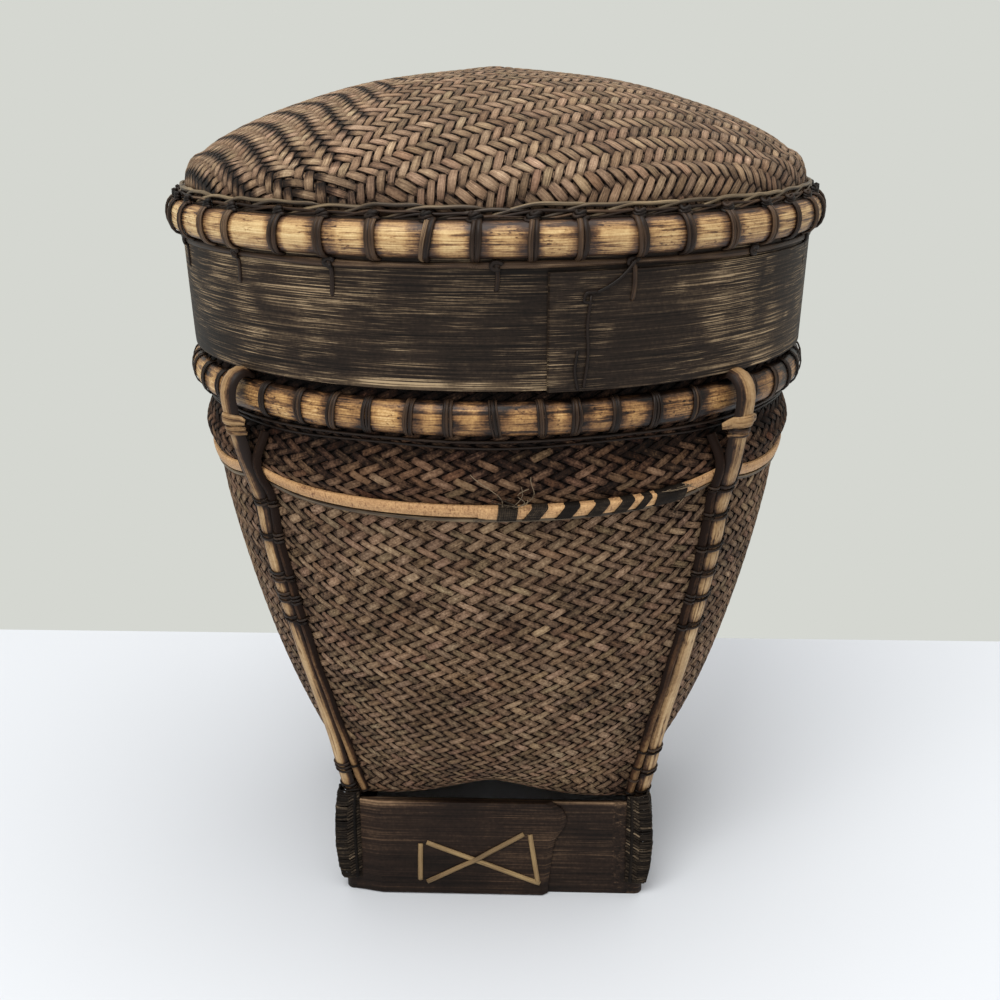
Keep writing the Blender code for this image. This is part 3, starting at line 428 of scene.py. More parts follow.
# Colours from dark to light, each with its place on the ramp
QUARTERS = (0.0, 0.25, 0.5, 0.75, 1.0)
WOVEN = (QUARTERS, ((13, 8, 6), (49, 35, 26), (113, 90, 69), (161, 135, 107), (214, 190, 155)))
CANE = (QUARTERS, ((44, 27, 18), (102, 71, 44), (178, 140, 92), (218, 188, 134), (242, 220, 174)))
STRUT = (QUARTERS, ((30, 19, 13), (78, 54, 36), (148, 116, 78), (184, 153, 112), (218, 192, 150)))
AGED = (QUARTERS, ((18, 11, 8), (56, 37, 24), (122, 87, 54), (186, 144, 90), (236, 204, 148)))
BELT = (QUARTERS, ((56, 33, 20), (112, 76, 48), (172, 130, 88), (204, 162, 112), (230, 196, 146)))
LASHING = ((0.0, 0.4, 0.7, 1.0), ((10, 7, 5), (36, 25, 18), (80, 60, 43), (168, 140, 106)))
BAMBOO = ((0.0, 0.35, 0.55, 0.75, 1.0),
          ((9, 7, 6), (22, 17, 13), (44, 35, 28), (94, 79, 61), (176, 154, 121)))
FIBRE = ((0.0, 0.5, 0.8, 1.0), ((9, 7, 6), (31, 25, 20), (64, 54, 43), (124, 107, 85)))
RIM = ((0.0, 0.4, 0.7, 1.0), ((24, 19, 15), (62, 50, 38), (122, 104, 78), (184, 160, 122)))
STITCH = ((0.0, 0.5, 0.8, 1.0), ((56, 42, 27), (136, 110, 74), (168, 142, 98), (200, 176, 130)))

body_weave = cane_material(
    "body weave", WOVEN, streak=(110, 2600, 0.35), fine=(500, 5200, 0.4),
    blotch=(34, 0.4), strand_tone=0.1, edge=0.6, roughness=(0.6, 0.85), bump=0.5, gloss=0.08,
    speckle=(1100, 0.6), hues=0.1, flecks=((900, 2600, 0.56, 7.0, 0.4, 70),))
lid_weave = cane_material(
    "lid weave", WOVEN, streak=(70, 3000, 0.6), fine=(260, 5600, 0.5), blotch=(26, 0.3),
    strand_tone=0.1, edge=0.6, roughness=(0.5, 0.75), bump=0.6, gloss=0.14, speckle=(1500, 0.3),
    hues=0.08, flecks=((500, 2400, 0.6, 8.0, 0.3, 60),))
lining_weave = cane_material(
    "lining", WOVEN, streak=(30, 900, 0.3), fine=(180, 5000, 0.2), blotch=(60, 0.3),
    strand_tone=0.0, edge=0.0, roughness=(0.6, 0.8), bump=0.3, gloss=0.1)
golden_cane = cane_material(
    "golden cane", CANE, streak=(20, 2400, 0.8), fine=(70, 5200, 0.6), blotch=(90, 0.4),
    strand_tone=0.1, edge=0.5, roughness=(0.35, 0.6), bump=0.4, coat=0.08, speckle=(1500, 0.25),
    flecks=((75, 620, 0.53, 7.0, 0.34, 0), (40, 3000, 0.52, 7.0, 0.26, 0), (420, 1500, 0.56, 9.0, 0.42, 110)))
aged_cane = cane_material(
    "aged cane", AGED, streak=(22, 2000, 0.5), fine=(80, 4800, 0.5), blotch=(90, 0.8),
    strand_tone=0.1, edge=0.45, roughness=(0.3, 0.5), bump=0.5, coat=0.07, gloss=0.18,
    speckle=(1300, 0.35),
    flecks=((90, 520, 0.51, 7.0, 0.36, 0), (60, 2600, 0.53, 7.0, 0.25, 0), (600, 1000, 0.56, 8.0, 0.4, 110)))
strut_cane = cane_material(
    "strut cane", STRUT, streak=(14, 1600, 0.7), fine=(60, 4200, 0.5), blotch=(80, 0.5),
    strand_tone=0.14, edge=0.6, roughness=(0.4, 0.65), bump=0.35, gloss=0.18, speckle=(900, 0.3),
    flecks=((40, 900, 0.54, 8.0, 0.34, 0), (220, 800, 0.56, 8.0, 0.35, 60)))
side_cane = cane_material(
    "side cane", STRUT, streak=(14, 1300, 0.5), fine=(60, 4200, 0.4), blotch=(80, 0.5),
    strand_tone=0.14, edge=0.5, roughness=(0.5, 0.75), bump=0.35, gloss=0.08, speckle=(900, 0.3))
belt_cane = cane_material(
    "belt cane", BELT, streak=(12, 1500, 0.3), fine=(60, 4200, 0.3), blotch=(60, 0.4),
    strand_tone=0.12, edge=0.5, roughness=(0.4, 0.65), bump=0.35, speckle=(1500, 0.7),
    flecks=((1900, 500, 0.55, 8.0, 0.22, 0), (300, 1400, 0.58, 8.0, 0.3, 50)))
dark_lashing = cane_material(
    "lashing cane", LASHING, streak=(40, 2600, 0.9), fine=(140, 6000, 0.3),
    blotch=(120, 0.35), strand_tone=0.2, edge=0.35, roughness=(0.4, 0.6), bump=0.4, coat=0.05, gloss=0.16)
rim_strand = cane_material(
    "rim strand", RIM, streak=(40, 1800, 0.9), fine=(140, 5000, 0.4), blotch=(60, 0.6),
    strand_tone=0.2, edge=0.6, roughness=(0.4, 0.6), bump=0.35)
dark_bamboo = cane_material(
    "dark bamboo", BAMBOO, streak=(9, 1500, 0.5), fine=(30, 4200, 0.5), blotch=(22, 0.4),
    strand_tone=0.0, edge=0.1, roughness=(0.45, 0.7), bump=0.4, warm_tint=(225, 180, 140), gloss=0.12,
    speckle=(900, 0.2),
    flecks=((14, 1900, 0.53, 12.0, -0.36, 22), (34, 3000, 0.52, 12.0, -0.34, 34),
            (60, 3600, 0.55, 12.0, -0.3, 55), (20, 700, 0.55, 6.0, 0.14, 0)))
foot_bamboo = cane_material(
    "foot bamboo", BAMBOO, streak=(9, 1200, 0.5), fine=(26, 3600, 0.4), blotch=(34, 0.4),
    strand_tone=0.0, edge=0.1, roughness=(0.45, 0.7), bump=0.4, warm_tint=(225, 160, 135), gloss=0.12,
    speckle=(900, 0.2),
    flecks=((14, 1300, 0.56, 8.0, -0.16, 24), (30, 2200, 0.57, 8.0, -0.16, 40), (12, 300, 0.5, 5.0, 0.12, 0)))
bound_fibre = cane_material(
    "bound fibre", FIBRE, streak=(90, 3000, 0.7), fine=(260, 7000, 0.5), blotch=(120, 0.6),
    strand_tone=0.4, edge=0.3, roughness=(0.6, 0.8), bump=0.4, gloss=0.1, speckle=(1300, 0.5))
stitch_cane = cane_material(
    "stitch cane", STITCH, streak=(40, 2000, 0.6), fine=(150, 5000, 0.4), blotch=(90, 0.5),
    strand_tone=0.15, edge=0.6, roughness=(0.4, 0.6), bump=0.3, flecks=((70, 1600, 0.55, 8.0, 0.3, 0),))


# Woven sheets: two families of strips that cross over two and under two

STRIP_SHARP = 38
STRIP_GRAIN = 1.2
CROSS_AT = 0.37
TWILL = 4
HALF_CROSSING = 0.5
MID_DEPTH = 0.35
FLOAT_END_SHADE = 0.16
TONE_SPREAD, TONE_MOST = 0.05, 0.22
WARM_MEAN, WARM_SPREAD, WARM_MOST = 0.04, 0.14, 0.5
HEIGHT_SPREAD = 0.02
FILL_SPREAD = 0.05
WIDTH_SPREAD = 0.03
LINING_GRAIN = 3
LINING_ROUND = 90
LINING_LIFT = -0.25

# section and edge are a strip's outline across and its painted shade there, darkest at its sides by the gaps;
# fill its half width over the spacing, narrow what its floats lose in width at their ends
Weave = namedtuple("Weave", "section edge fill narrow rise bow thickness")
BODY_WEAVE = Weave(np.array([(-1.0, -0.5), (-0.84, 0.38), (0.0, 0.5), (0.84, 0.38), (1.0, -0.5)]),
                   np.array([1.4, 0.22, 0.0, 0.22, 1.4]), 0.48, 0.05, 0.27, 0.09, 0.44)
LID_WEAVE = Weave(np.array([(-1.0, -0.5), (-0.82, 0.3), (0.0, 0.5), (0.82, 0.3), (1.0, -0.5)]),
                  np.array([1.3, 0.2, 0.0, 0.2, 1.3]), 0.455, 0.1, 0.28, 0.11, 0.48)


def samples(crossings):
    """Two places on a strip at each crossing, one before it and one after."""
    return (crossings[:, None] + np.array([-CROSS_AT, CROSS_AT])).ravel()


class Floats:
    """What each sample of a strip needs, from the numbers that its crossings have in the twill."""

    def __init__(self, twill, family, weave):
        on_top = (twill % TWILL < TWILL / 2) == (family > 0)
        change = on_top[1:] != on_top[:-1]
        run = np.concatenate([[0], np.cumsum(change)])
        count = run[-1] + 1
        ends = [np.concatenate([[0.0], ~change]), np.concatenate([~change, [0.0]])]
        inside = np.stack(ends, -1).ravel()

        def spread(values):
            return np.repeat(values[run], 2)

        self.top = np.repeat(on_top, 2)
        rise = weave.rise + inside * weave.bow
        self.height = np.where(self.top, rise, -rise) + RANDOM.normal(0, HEIGHT_SPREAD, len(inside))
        self.shade = (1 - inside) * FLOAT_END_SHADE
        self.tone = spread(np.clip(RANDOM.normal(0, TONE_SPREAD, count), -TONE_MOST, TONE_MOST))
        self.warm = spread(np.clip(RANDOM.normal(WARM_MEAN, WARM_SPREAD, count), 0, WARM_MOST))
        self.mark = spread(RANDOM.random(count))
        self.fill = spread(1 + RANDOM.normal(0, FILL_SPREAD, count)) * (1 - weave.narrow * (1 - inside))

    def keep(self, chosen):
        """Drop the samples that are not chosen."""
        for title, values in list(vars(self).items()):
            setattr(self, title, values[chosen])


def lay_strip(sheaf, weave, surface, course, side, floats, along, lift, warm):
    """One woven strip along a course of sheet coordinates; side is half its spacing there."""
    side = side * weave.fill * floats.fill[:, None]
    sheet = course[:, None, :] + side[:, None, :] * weave.section[None, :, 0, None]
    points, normals = surface(sheet[..., 0], sheet[..., 1])
    rise = floats.height[:, None] + weave.thickness * weave.section[None, :, 1]
    sheaf.add(points + normals * rise[..., None], along, weave.section[:, 0] * STRIP_GRAIN,
              weave.edge[None] + floats.shade[:, None], lift + floats.tone, warm + floats.warm,
              mark=floats.mark)


# Body weave: strips spiral up the wall both ways, so that each row of floats lies level
BODY_STRIPS = 100
PITCH_AT = smooth_curve((39, 60, 90, 140, 250), (2.5, 2.56, 2.62, 2.89, 2.95))
TWIST_AT = smooth_curve((39, 60, 95, 135, 168, 176, 250), (0.1, 0.12, 0.12, -0.15, -0.15, 0.0, 0.0))
UPPER_ROW = 2.95
STEP_TURN = FULL_TURN / BODY_STRIPS
CORNER_RISE = 5.0
RISE_REACH = 7.0
RISE_TIP = 3.0
RISE_LEVELS = (100, 168, 190)
DARK_LOW_REACH = 24
HOOP_SHADOW_FROM, HOOP_SHADOW_REACH = 178, 9
WARM_ABOVE_BELT = 0.36
LEVELS = np.linspace(WALL_LEVELS[0], NECK_TOP, 600)
ARCS = reach(wall_point(np.full(len(LEVELS), HALF_WAY), LEVELS))


def belt_rise(azimuth):
    """How far the belt and the weave beside it rise towards the corners."""
    past_tip = np.hypot(off_corner(azimuth), RISE_TIP) - RISE_TIP
    return CORNER_RISE * np.exp(-past_tip / RISE_REACH)


def strip_turn(azimuth, level):
    """Length round the wall from one strip to the next."""
    return 2 * math.pi * wall_radius(azimuth, level) / BODY_STRIPS


def row_height(level):
    """Arc length between rows of crossings, the same all the way above the belt."""
    if BELT_Z + 2 < level < NECK_Z:
        return UPPER_ROW
    return PITCH_AT(level) / np.sqrt(1 - (PITCH_AT(level) / strip_turn(HALF_WAY, level)) ** 2)


def body_rows():
    arcs = [0.0]
    while arcs[-1] < ARCS[-1]:
        arcs.append(arcs[-1] + row_height(np.interp(arcs[-1], ARCS, LEVELS)))
    return np.array(arcs[:-1])


ROW_ARCS = body_rows()
ROW_COUNT = len(ROW_ARCS) - 1
ROW_INDEX = np.arange(len(ROW_ARCS))
BELT_ROW = int(np.argmin(np.abs(ROW_ARCS - np.interp(BELT_Z - 0.4, LEVELS, ARCS))))
MOUTH_ROW = int(np.searchsorted(ROW_ARCS, np.interp(NECK_Z + 3, LEVELS, ARCS)))


def body_level(row):
    return np.interp(np.interp(row, ROW_INDEX, ROW_ARCS), ARCS, LEVELS)


ROW_TWIST = TWIST_AT(body_level(ROW_INDEX))
TWIST_SUM = np.concatenate([[0], np.cumsum(ROW_TWIST[:-1])])


def body_surface(azimuth, row):
    level = body_level(row)
    level = level + belt_rise(azimuth) * np.interp(level, RISE_LEVELS, (0.0, 1.0, 0.0))
    normals = wall_normal(azimuth, level)
    return wall_point(azimuth, level) - normals * MID_DEPTH, normals


def body_strip(sheaf, family, number, first_row, last_row, dark=0.0):
    """family is +1 for strips that rise to the right and -1 to the left."""
    crossings = np.arange(2 * first_row, 2 * last_row + 1)
    floats = Floats(crossings, family, BODY_WEAVE)
    reads = samples(crossings)
    last = min(2 * last_row + HALF_CROSSING, 2 * ROW_COUNT)
    keep = (reads >= max(0, 2 * first_row - HALF_CROSSING)) & (reads <= last)
    floats.keep(keep)
    row = reads[keep] / 2
    azimuth = (number + family * row + np.interp(row, ROW_INDEX, TWIST_SUM)) * STEP_TURN
    level = body_level(row)
    turn = strip_turn(azimuth, level)
    rise = np.interp(row, ROW_INDEX[:-1] + 0.5, np.diff(ROW_ARCS))
    run = (family + np.interp(row, ROW_INDEX, ROW_TWIST)) * turn
    slope = np.hypot(run, rise)
    half_width = turn * rise / slope * (1 + RANDOM.normal(0, WIDTH_SPREAD))
    side = np.stack([-half_width * rise / slope / turn * STEP_TURN, half_width * run / slope / rise], -1)
    z = wall_height(azimuth, level)
    placed_tone = np.clip((FOOT_HEIGHT + DARK_LOW_REACH - z) / DARK_LOW_REACH, 0, 1)
    under_hoop = np.clip((z - HOOP_SHADOW_FROM) / HOOP_SHADOW_REACH, 0, 1)
    # Floats on top lighter and hidden parts darker: painted shade in the weave's gaps
    lift = np.where(floats.top, 0.1, -0.1) + np.where(z > BELT_Z, 0.6 * floats.tone - 0.08, 0.0)
    # Painted shadow under the mouth hoop; darker near the corners and towards the bottom
    lift = lift - 0.12 * placed_tone - 0.22 * under_hoop - 0.1 * np.exp(-(off_corner(azimuth) / 9) ** 2) - dark
    along = np.cumsum(np.full(len(row), slope.mean() / 4))
    lay_strip(sheaf, BODY_WEAVE, body_surface, np.stack([azimuth, row], -1), side, floats, along, lift,
              np.where(z > BELT_Z, WARM_ABOVE_BELT, 0.0))


def woven_body():
    for family, title in ((1, "rising"), (-1, "falling")):
        body = Sheaf()
        for number in range(BODY_STRIPS):
            body_strip(body, family, number, 0, BELT_ROW)
        body.build(f"body_strips_{title}", body_weave, "woven_body", sharp=STRIP_SHARP)
    shoulder = Sheaf()
    neck = Sheaf()
    for family in (1, -1):
        for number in range(BODY_STRIPS):
            body_strip(shoulder, family, number, BELT_ROW, MOUTH_ROW)
            # The neck's strips are darker by 0.12: painted shade under the lid's collar
            body_strip(neck, family, number, MOUTH_ROW, ROW_COUNT, 0.12)
    shoulder.build("shoulder_strips", body_weave, "woven_body", sharp=STRIP_SHARP)
    neck.build("neck_strips", body_weave, "woven_body", sharp=STRIP_SHARP)


BASE_PITCH = 2.7
BASE_SINK = 0.85
LINING_DEPTHS = (1.05, 1.75)
FLOOR_BOTTOM, FLOOR_TOP = BASE_HEIGHT - 0.2, BASE_HEIGHT + 1.6


def base_surface(x, y):
    return np.stack([x, y, np.full(x.shape, BASE_HEIGHT - BASE_SINK)], -1), -UP


def base_mat():
    """The floor of the basket, woven square to the foot and seen from below."""
    mat = Sheaf()
    most = int(BASE_FACE / BASE_PITCH)
    crossings = np.arange(-most - 1, most + 2)
    reads = samples(crossings) * BASE_PITCH
    for family in (1, -1):
        for number in range(-most, most + 1):
            floats = Floats(crossings + number, family, BODY_WEAVE)
            course = np.stack([reads, np.full(len(reads), number * BASE_PITCH)][::family], -1)
            side = np.tile(np.array([0.0, BASE_PITCH][::family]), (len(reads), 1))
            # Hidden parts darker than floats on top: painted shade in the gaps
            lift = np.where(floats.top, -0.1, -0.2)
            lay_strip(mat, BODY_WEAVE, base_surface, course, side, floats, reads - reads[0], lift, 0.1)
    mat.build("base_strips", body_weave, "woven_body", sharp=STRIP_SHARP)


def lining(name, rings, azimuth, node, body):
    """A dark inner ply behind the strips; its darkness is painted shade where it shows through the gaps."""
    ply = Sheaf()
    ply.add(rings, np.arange(len(rings)) * LINING_GRAIN, np.radians(azimuth) * LINING_ROUND, 0.0, LINING_LIFT)
    ply.build(name, lining_weave, node, body)


def body_lining():
    """The inner ply of the wall, with the floor of the basket."""
    azimuth = all_round(96)
    lower = np.linspace(WALL_LEVELS[0], BELT_Z, 34)
    levels = np.concatenate([lower, np.linspace(BELT_Z + 2, NECK_TOP - 0.6, 16)])
    floor = BASE_FACE + (BASE_CORNER - BASE_FACE) * corner_share(azimuth)

    def wall_ring(level, depth):
        line = np.full(len(azimuth), level)
        return wall_point(azimuth, line) - wall_normal(azimuth, line) * depth

    outer, inner = LINING_DEPTHS
    rings = [place(floor * s, azimuth, FLOOR_BOTTOM) for s in (0.02, 0.5, 1.0)]
    rings += [wall_ring(level, outer) for level in levels]
    rings += [wall_ring(level, inner) for level in levels[::-1]]
    rings += [place(floor * s, azimuth, FLOOR_TOP) for s in (1.0, 0.5, 0.02)]
    lining("body_lining", rings, azimuth, "woven_body", "basket")


# Lid weave: a mat pressed into a dome, its twill turned on the left of one strip
MAT_MIDDLE = -80.0
STEEP_STEPS = (3.07, 3.64)
WIDE_FROM = -40.0
FAN_AT = smooth_curve((-110, -75, -38, -10, 110), (0.56, 0.55, 0.22, 0.14, 0.13))
FAN_COMMON = 0.14
FLAT_STEPS = ((-60, 0), (3.46, 4.5))
SETTLING_ROUNDS = 14
FAN_REACH = 40.0
FLAT_XS = np.linspace(-200, 200, 81)
FLAT_SLOPES = np.interp(FLAT_XS, (-70, 20), (-0.36, -0.70))
FLAT_SUM = np.concatenate([[0], np.cumsum((FLAT_SLOPES[1:] + FLAT_SLOPES[:-1]) / 2 * np.diff(FLAT_XS))])
FLAT_START = MAT_MIDDLE - np.interp(0.0, FLAT_XS, FLAT_SUM)
TURN_STRIP = -12.4
LID_STRIP_MOST = 70
HEM_SHADE, HEM_SHADE_FROM = 2.2, 0.83
VALLEY_SHADE, SECOND_FLOAT = 0.4, 0.45
LID_LINING_DEPTHS = (1.0, 1.7)


def mat_place(steep, flat):
    """Place on the mat where a steep and a flat strip cross, given by their numbers."""
    wide = WIDE_FROM / STEEP_STEPS[0]
    start = np.where(steep > wide, steep * STEEP_STEPS[0], WIDE_FROM + (steep - wide) * STEEP_STEPS[1])
    fan = FAN_AT(start) - FAN_COMMON
    x = start
    for _ in range(SETTLING_ROUNDS):
        y = FLAT_START + np.interp(x, FLAT_XS, FLAT_SUM) + np.interp(x, *FLAT_STEPS) * flat
        up = y - MAT_MIDDLE
        x = start + FAN_COMMON * up + fan * FAN_REACH * np.tanh(up / FAN_REACH)
    return np.stack([x, y], -1)


def dome_profile():
    """(radius, height) points down the dome's outer face, from the middle."""
    crown = np.linspace(0, CROWN[-1, 0], 120)
    turn = np.linspace(0, math.pi / 2, 40)[1:]
    radius = np.concatenate([crown, CROWN[-1, 0] + SHOULDER_INSET * np.sin(turn), [HEM_RADIUS]])
    shoulder = HEM_Z + SHOULDER_RISE * np.cos(turn) ** SHOULDER_FULLNESS
    return np.stack([radius, np.concatenate([smooth_curve(*CROWN.T)(crown), shoulder, [HEM_BOTTOM]])], -1)


DOME_RADIUS, DOME_HEIGHT = dome_profile().T
DOME_ARC = reach(dome_profile())


def dome_point(arc, azimuth):
    radius, height = (np.interp(arc, DOME_ARC, line) for line in (DOME_RADIUS, DOME_HEIGHT))
    return place(radius, azimuth, height)


def dome_surface(x, y):
    """Point and normal of the dome over a place (x, y) of the flat mat."""
    arc = np.hypot(x, y)
    azimuth = heading(x, y)
    down = unit(dome_point(arc + 0.8, azimuth) - dome_point(np.maximum(arc - 0.8, 0), azimuth))
    normals = np.cross(sideways(azimuth), down)
    normals *= np.sign((normals * (outward(azimuth) + UP)).sum(-1, keepdims=True))
    return dome_point(arc, azimuth) - normals * MID_DEPTH, normals


def lid_strip(sheaf, family, number):
    """family +1 is a steep strip and -1 a flat one; number counts them from the middle."""
    crossings = np.arange(-LID_STRIP_MOST - 5, LID_STRIP_MOST + 6)
    own = np.full(len(crossings), number)
    steep, flat = (own, crossings)[::family]
    inside = np.flatnonzero(np.hypot(*mat_place(steep, flat).T) < DOME_ARC[-1] - 1.4)
    if len(inside) < 4:
        return
    inside = slice(inside[0], inside[-1] + 1)
    steep, flat = steep[inside], flat[inside]
    turned = steep < TURN_STRIP
    floats = Floats(np.where(turned, steep + flat, steep - flat) + 1, family, LID_WEAVE)
    reads = samples(crossings[inside])

    def at(read, line):
        return mat_place(*(line, read)[::family])

    own = np.full(len(reads), float(number))
    course = at(reads, own)
    ahead = unit(at(reads + 0.3, own) - at(reads - 0.3, own))
    spread = at(reads, own + 0.5) - at(reads, own - 0.5)
    normal = np.stack([-ahead[:, 1], ahead[:, 0]], -1)
    half_width = np.abs((spread * normal).sum(-1)) * (1 + RANDOM.normal(0, WIDTH_SPREAD))
    outer = np.hypot(*course.T) / DOME_ARC[-1]
    # Hidden parts darker than floats on top, and the strips darker towards the hem: painted shade
    lift = np.where(floats.top, 0.16, -0.05) - HEM_SHADE * np.clip(outer - HEM_SHADE_FROM, 0, 1)
    hidden = ~floats.top
    # Left of the turn, one end of each float on top lies in shadow
    if family < 0:
        valley = floats.top & np.concatenate([[True], hidden[:-1]])
        valley = valley + SECOND_FLOAT * np.concatenate([[False], valley[:-1]])
    else:
        valley = floats.top & np.concatenate([hidden[1:], [True]])
        valley = valley + SECOND_FLOAT * np.concatenate([valley[1:], [False]])
    lift = lift + np.where(np.repeat(turned, 2), 0.05 - VALLEY_SHADE * valley, 0.0)
    side = normal * half_width[:, None]
    lay_strip(sheaf, LID_WEAVE, dome_surface, course, side, floats, reach(course), lift, 0.0)


def woven_lid():
    for family, title in ((1, "steep"), (-1, "flat")):
        lid = Sheaf()
        for number in range(-LID_STRIP_MOST, LID_STRIP_MOST + 1):
            lid_strip(lid, family, number)
        lid.build(f"lid_strips_{title}", lid_weave, "lid_dome", "lid", sharp=STRIP_SHARP)
    azimuth = all_round(96)
    arcs = np.concatenate([np.linspace(1.5, DOME_ARC[-2], 30), [DOME_ARC[-1] - 0.4]])
    rings = []
    for arc_list, depth in zip((arcs, arcs[::-1]), LID_LINING_DEPTHS):
        for arc in arc_list:
            points, normals = dome_surface(arc * wave(azimuth), -arc * np.cos(np.radians(azimuth)))
            rings.append(points + normals * (MID_DEPTH - depth))
    lining("lid_lining", rings, azimuth, "lid_dome", "lid")


# Places of the lashings round the mouth and the lid
MOUTH_FRONT_LASHINGS = (-39.3, -31.0, -24.5, -18.2, -11.2, -5.0, 2.3, 9.5, 14.9, 21.4, 28.6, 36.3)
LID_FRONT_LASHINGS = (-42.7, -31.9, -23.8, -15.4, -7.2, -0.2, 8.0, 15.0, 23.9, 31.8, 40.5, 50.2)
LID_LASHINGS = 44
LASHING_SPREAD = 0.5
LID_LASHING_SPREAD = 0.4


def mouth_azimuths():
    found = []
    for quarter in range(4):
        jitter = RANDOM.normal(0, LASHING_SPREAD if quarter else 0.0, len(MOUTH_FRONT_LASHINGS))
        found.append(quarter * 90 + np.array(MOUTH_FRONT_LASHINGS) + jitter)
    return np.concatenate(found)


def lid_azimuths():
    first, last = LID_FRONT_LASHINGS[0], LID_FRONT_LASHINGS[-1]
    rest = LID_LASHINGS - len(LID_FRONT_LASHINGS)
    gap = (FULL_TURN - (last - first)) / (rest + 1)
    others = [last + gap * (i + 1) + RANDOM.normal(0, LID_LASHING_SPREAD) for i in range(rest)]
    return np.array([*LID_FRONT_LASHINGS, *others])


MOUTH_AZIMUTHS = mouth_azimuths()
LID_AZIMUTHS = lid_azimuths()

# Hoops, rims and plain bamboo rings
STAIN_REACH = 4.6
BAND_SWELL = 0.15


def stained(azimuth, lashings, hoop):
    """1 at a lashing's middle and 0 from the stain's reach on, ragged from place to place."""
    off = np.abs((azimuth[..., None] - lashings + 180) % FULL_TURN - 180).min(-1)
    ragged = 1 + 0.25 * wave(azimuth * 29) + 0.2 * wave(azimuth * 67 + 50)
    return np.clip(1 - np.radians(off) * hoop.back / (STAIN_REACH * ragged), 0, 1)


def mouth_hoop_side_light_and_stains(azimuth, height):
    # Left side lighter and right side darker: painted light; darker near the lashings: stains
    side = np.sin(np.radians(azimuth) - 0.4)
    return 0.14 - 0.16 * side - 0.42 * stained(azimuth, MOUTH_AZIMUTHS, MOUTH_HOOP)


def lid_hoop_side_light_and_stains(azimuth, height):
    # Left side lighter and right side darker: painted light; darker near the lashings: stains
    return 0.11 - 0.08 * wave(azimuth) - 0.6 * stained(azimuth, LID_AZIMUTHS, LID_HOOP)


def hoops():
    for node, size, body, material, shade in (
        ("mouth_hoop", MOUTH_HOOP, "basket", aged_cane, mouth_hoop_side_light_and_stains),
        ("inner_hoop", INNER_HOOP, "basket", aged_cane, None),
        ("lid_hoop", LID_HOOP, "lid", golden_cane, lid_hoop_side_light_and_stains),
        ("lid_inner_hoop", LID_INNER_HOOP, "lid", golden_cane, None),
    ):
        hoop = Sheaf()
        ring(hoop, half_round(size), 720 if shade else 180, 0.12, shade)
        hoop.build(f"{node}_cane", material, node, body, 50)


def band_section(inner, outer, bottom, top, steps=10):
    """Section of a flat band whose two radii may change from the bottom to the top."""
    height = np.linspace(bottom, top, steps)
    soft = np.sin(np.linspace(0, math.pi, steps)) ** 0.25 * BAND_SWELL
    outer_line = np.stack([np.linspace(*outer, steps) + soft, height], -1)
    inner_line = np.stack([np.linspace(*inner, steps), height], -1)
    return np.concatenate([outer_line, inner_line[::-1]])


# Neck: the liner's radii and lower edge, and the middle and half size of the rim's section
LINER_INNER, LINER_OUTER, LINER_BOTTOM = 102.3, 103.9, 194.5
RIM_MIDDLE = np.array([104.25, 241.8])
RIM_HALF = np.array([1.95, 1.5])


def neck_bands():
    liner = Sheaf()
    ring(liner, band_section([LINER_INNER] * 2, [LINER_OUTER] * 2, LINER_BOTTOM, NECK_TOP), 180)
    liner.build("neck_liner_bamboo", dark_bamboo, "neck_liner", sharp=40)
    rim = Sheaf()
    turn = np.radians(all_round(16))
    ring(rim, RIM_MIDDLE + RIM_HALF * np.stack([np.cos(turn), np.sin(turn)], -1), 180, 0.05)
    rim.build("neck_rim_cane", golden_cane, "neck_rim")


# Collar of the lid: a bent bamboo band whose outer ply ends on the front
COLLAR_BOTTOM = 206.3
COLLAR_TOP = 256.2
COLLAR_OUTER = (108.9, 111.0)
COLLAR_THICKNESS = 1.4
COLLAR_LAP = (10.3, 88.0)
COLLAR_LAP_FULL = 24.0
COLLAR_LAP_THIN = 0.08
COLLAR_LAP_TOP = 241.0
COLLAR_SHELF = (9.9, 10.5, COLLAR_LAP_FULL, 40.5)
COLLAR_PLY = 1.5
COLLAR_ROUND = 110
PALE_EDGE, PALE_EDGE_TONE = 3.2, 0.26


def collar_outer(height):
    return np.interp(height, (COLLAR_BOTTOM, COLLAR_TOP), COLLAR_OUTER)


def collar_shade(swing, height):
    """A paler lower edge, its strength changing round the collar."""
    low_edge = np.clip((COLLAR_BOTTOM + PALE_EDGE - height) / (PALE_EDGE / 2), 0, 1)
    return PALE_EDGE_TONE * low_edge * (0.6 + 0.4 * wave(swing * 3 + 130))


def lid_collar():
    collar = Sheaf()
    inner = tuple(r - COLLAR_THICKNESS for r in COLLAR_OUTER)
    section = band_section(inner, COLLAR_OUTER, COLLAR_BOTTOM, COLLAR_TOP, 26)
    ring(collar, section, 360, shade=collar_shade, warm=0.1)
    first, last = COLLAR_LAP
    azimuth = np.concatenate([[first], np.linspace(first + 0.25, last, 90)])
    fullness = np.interp(azimuth, (first, first + 0.25, COLLAR_LAP_FULL, last), (0.5, 1, 1, COLLAR_LAP_THIN))
    height = np.linspace(COLLAR_BOTTOM - 0.3, COLLAR_LAP_TOP, 14)
    inner_line = collar_outer(height) + 0.2
    rings = []
    for a, t in zip(azimuth, fullness * COLLAR_PLY):
        outer_line = inner_line + t + 0.12 * np.sin(height * 0.9 + a) * (t > 0.5)
        rings.append(np.concatenate([place(outer_line, a, height), place(inner_line, a, height)[::-1]]))
    across = height - height[0]
    across = np.concatenate([across, across[::-1] + 1])
    collar.add(rings, np.radians(azimuth) * COLLAR_ROUND, across, 0.0, 0.02, 0.1)
    collar.build("lid_collar_bamboo", dark_bamboo, "lid_collar", "lid", 40)


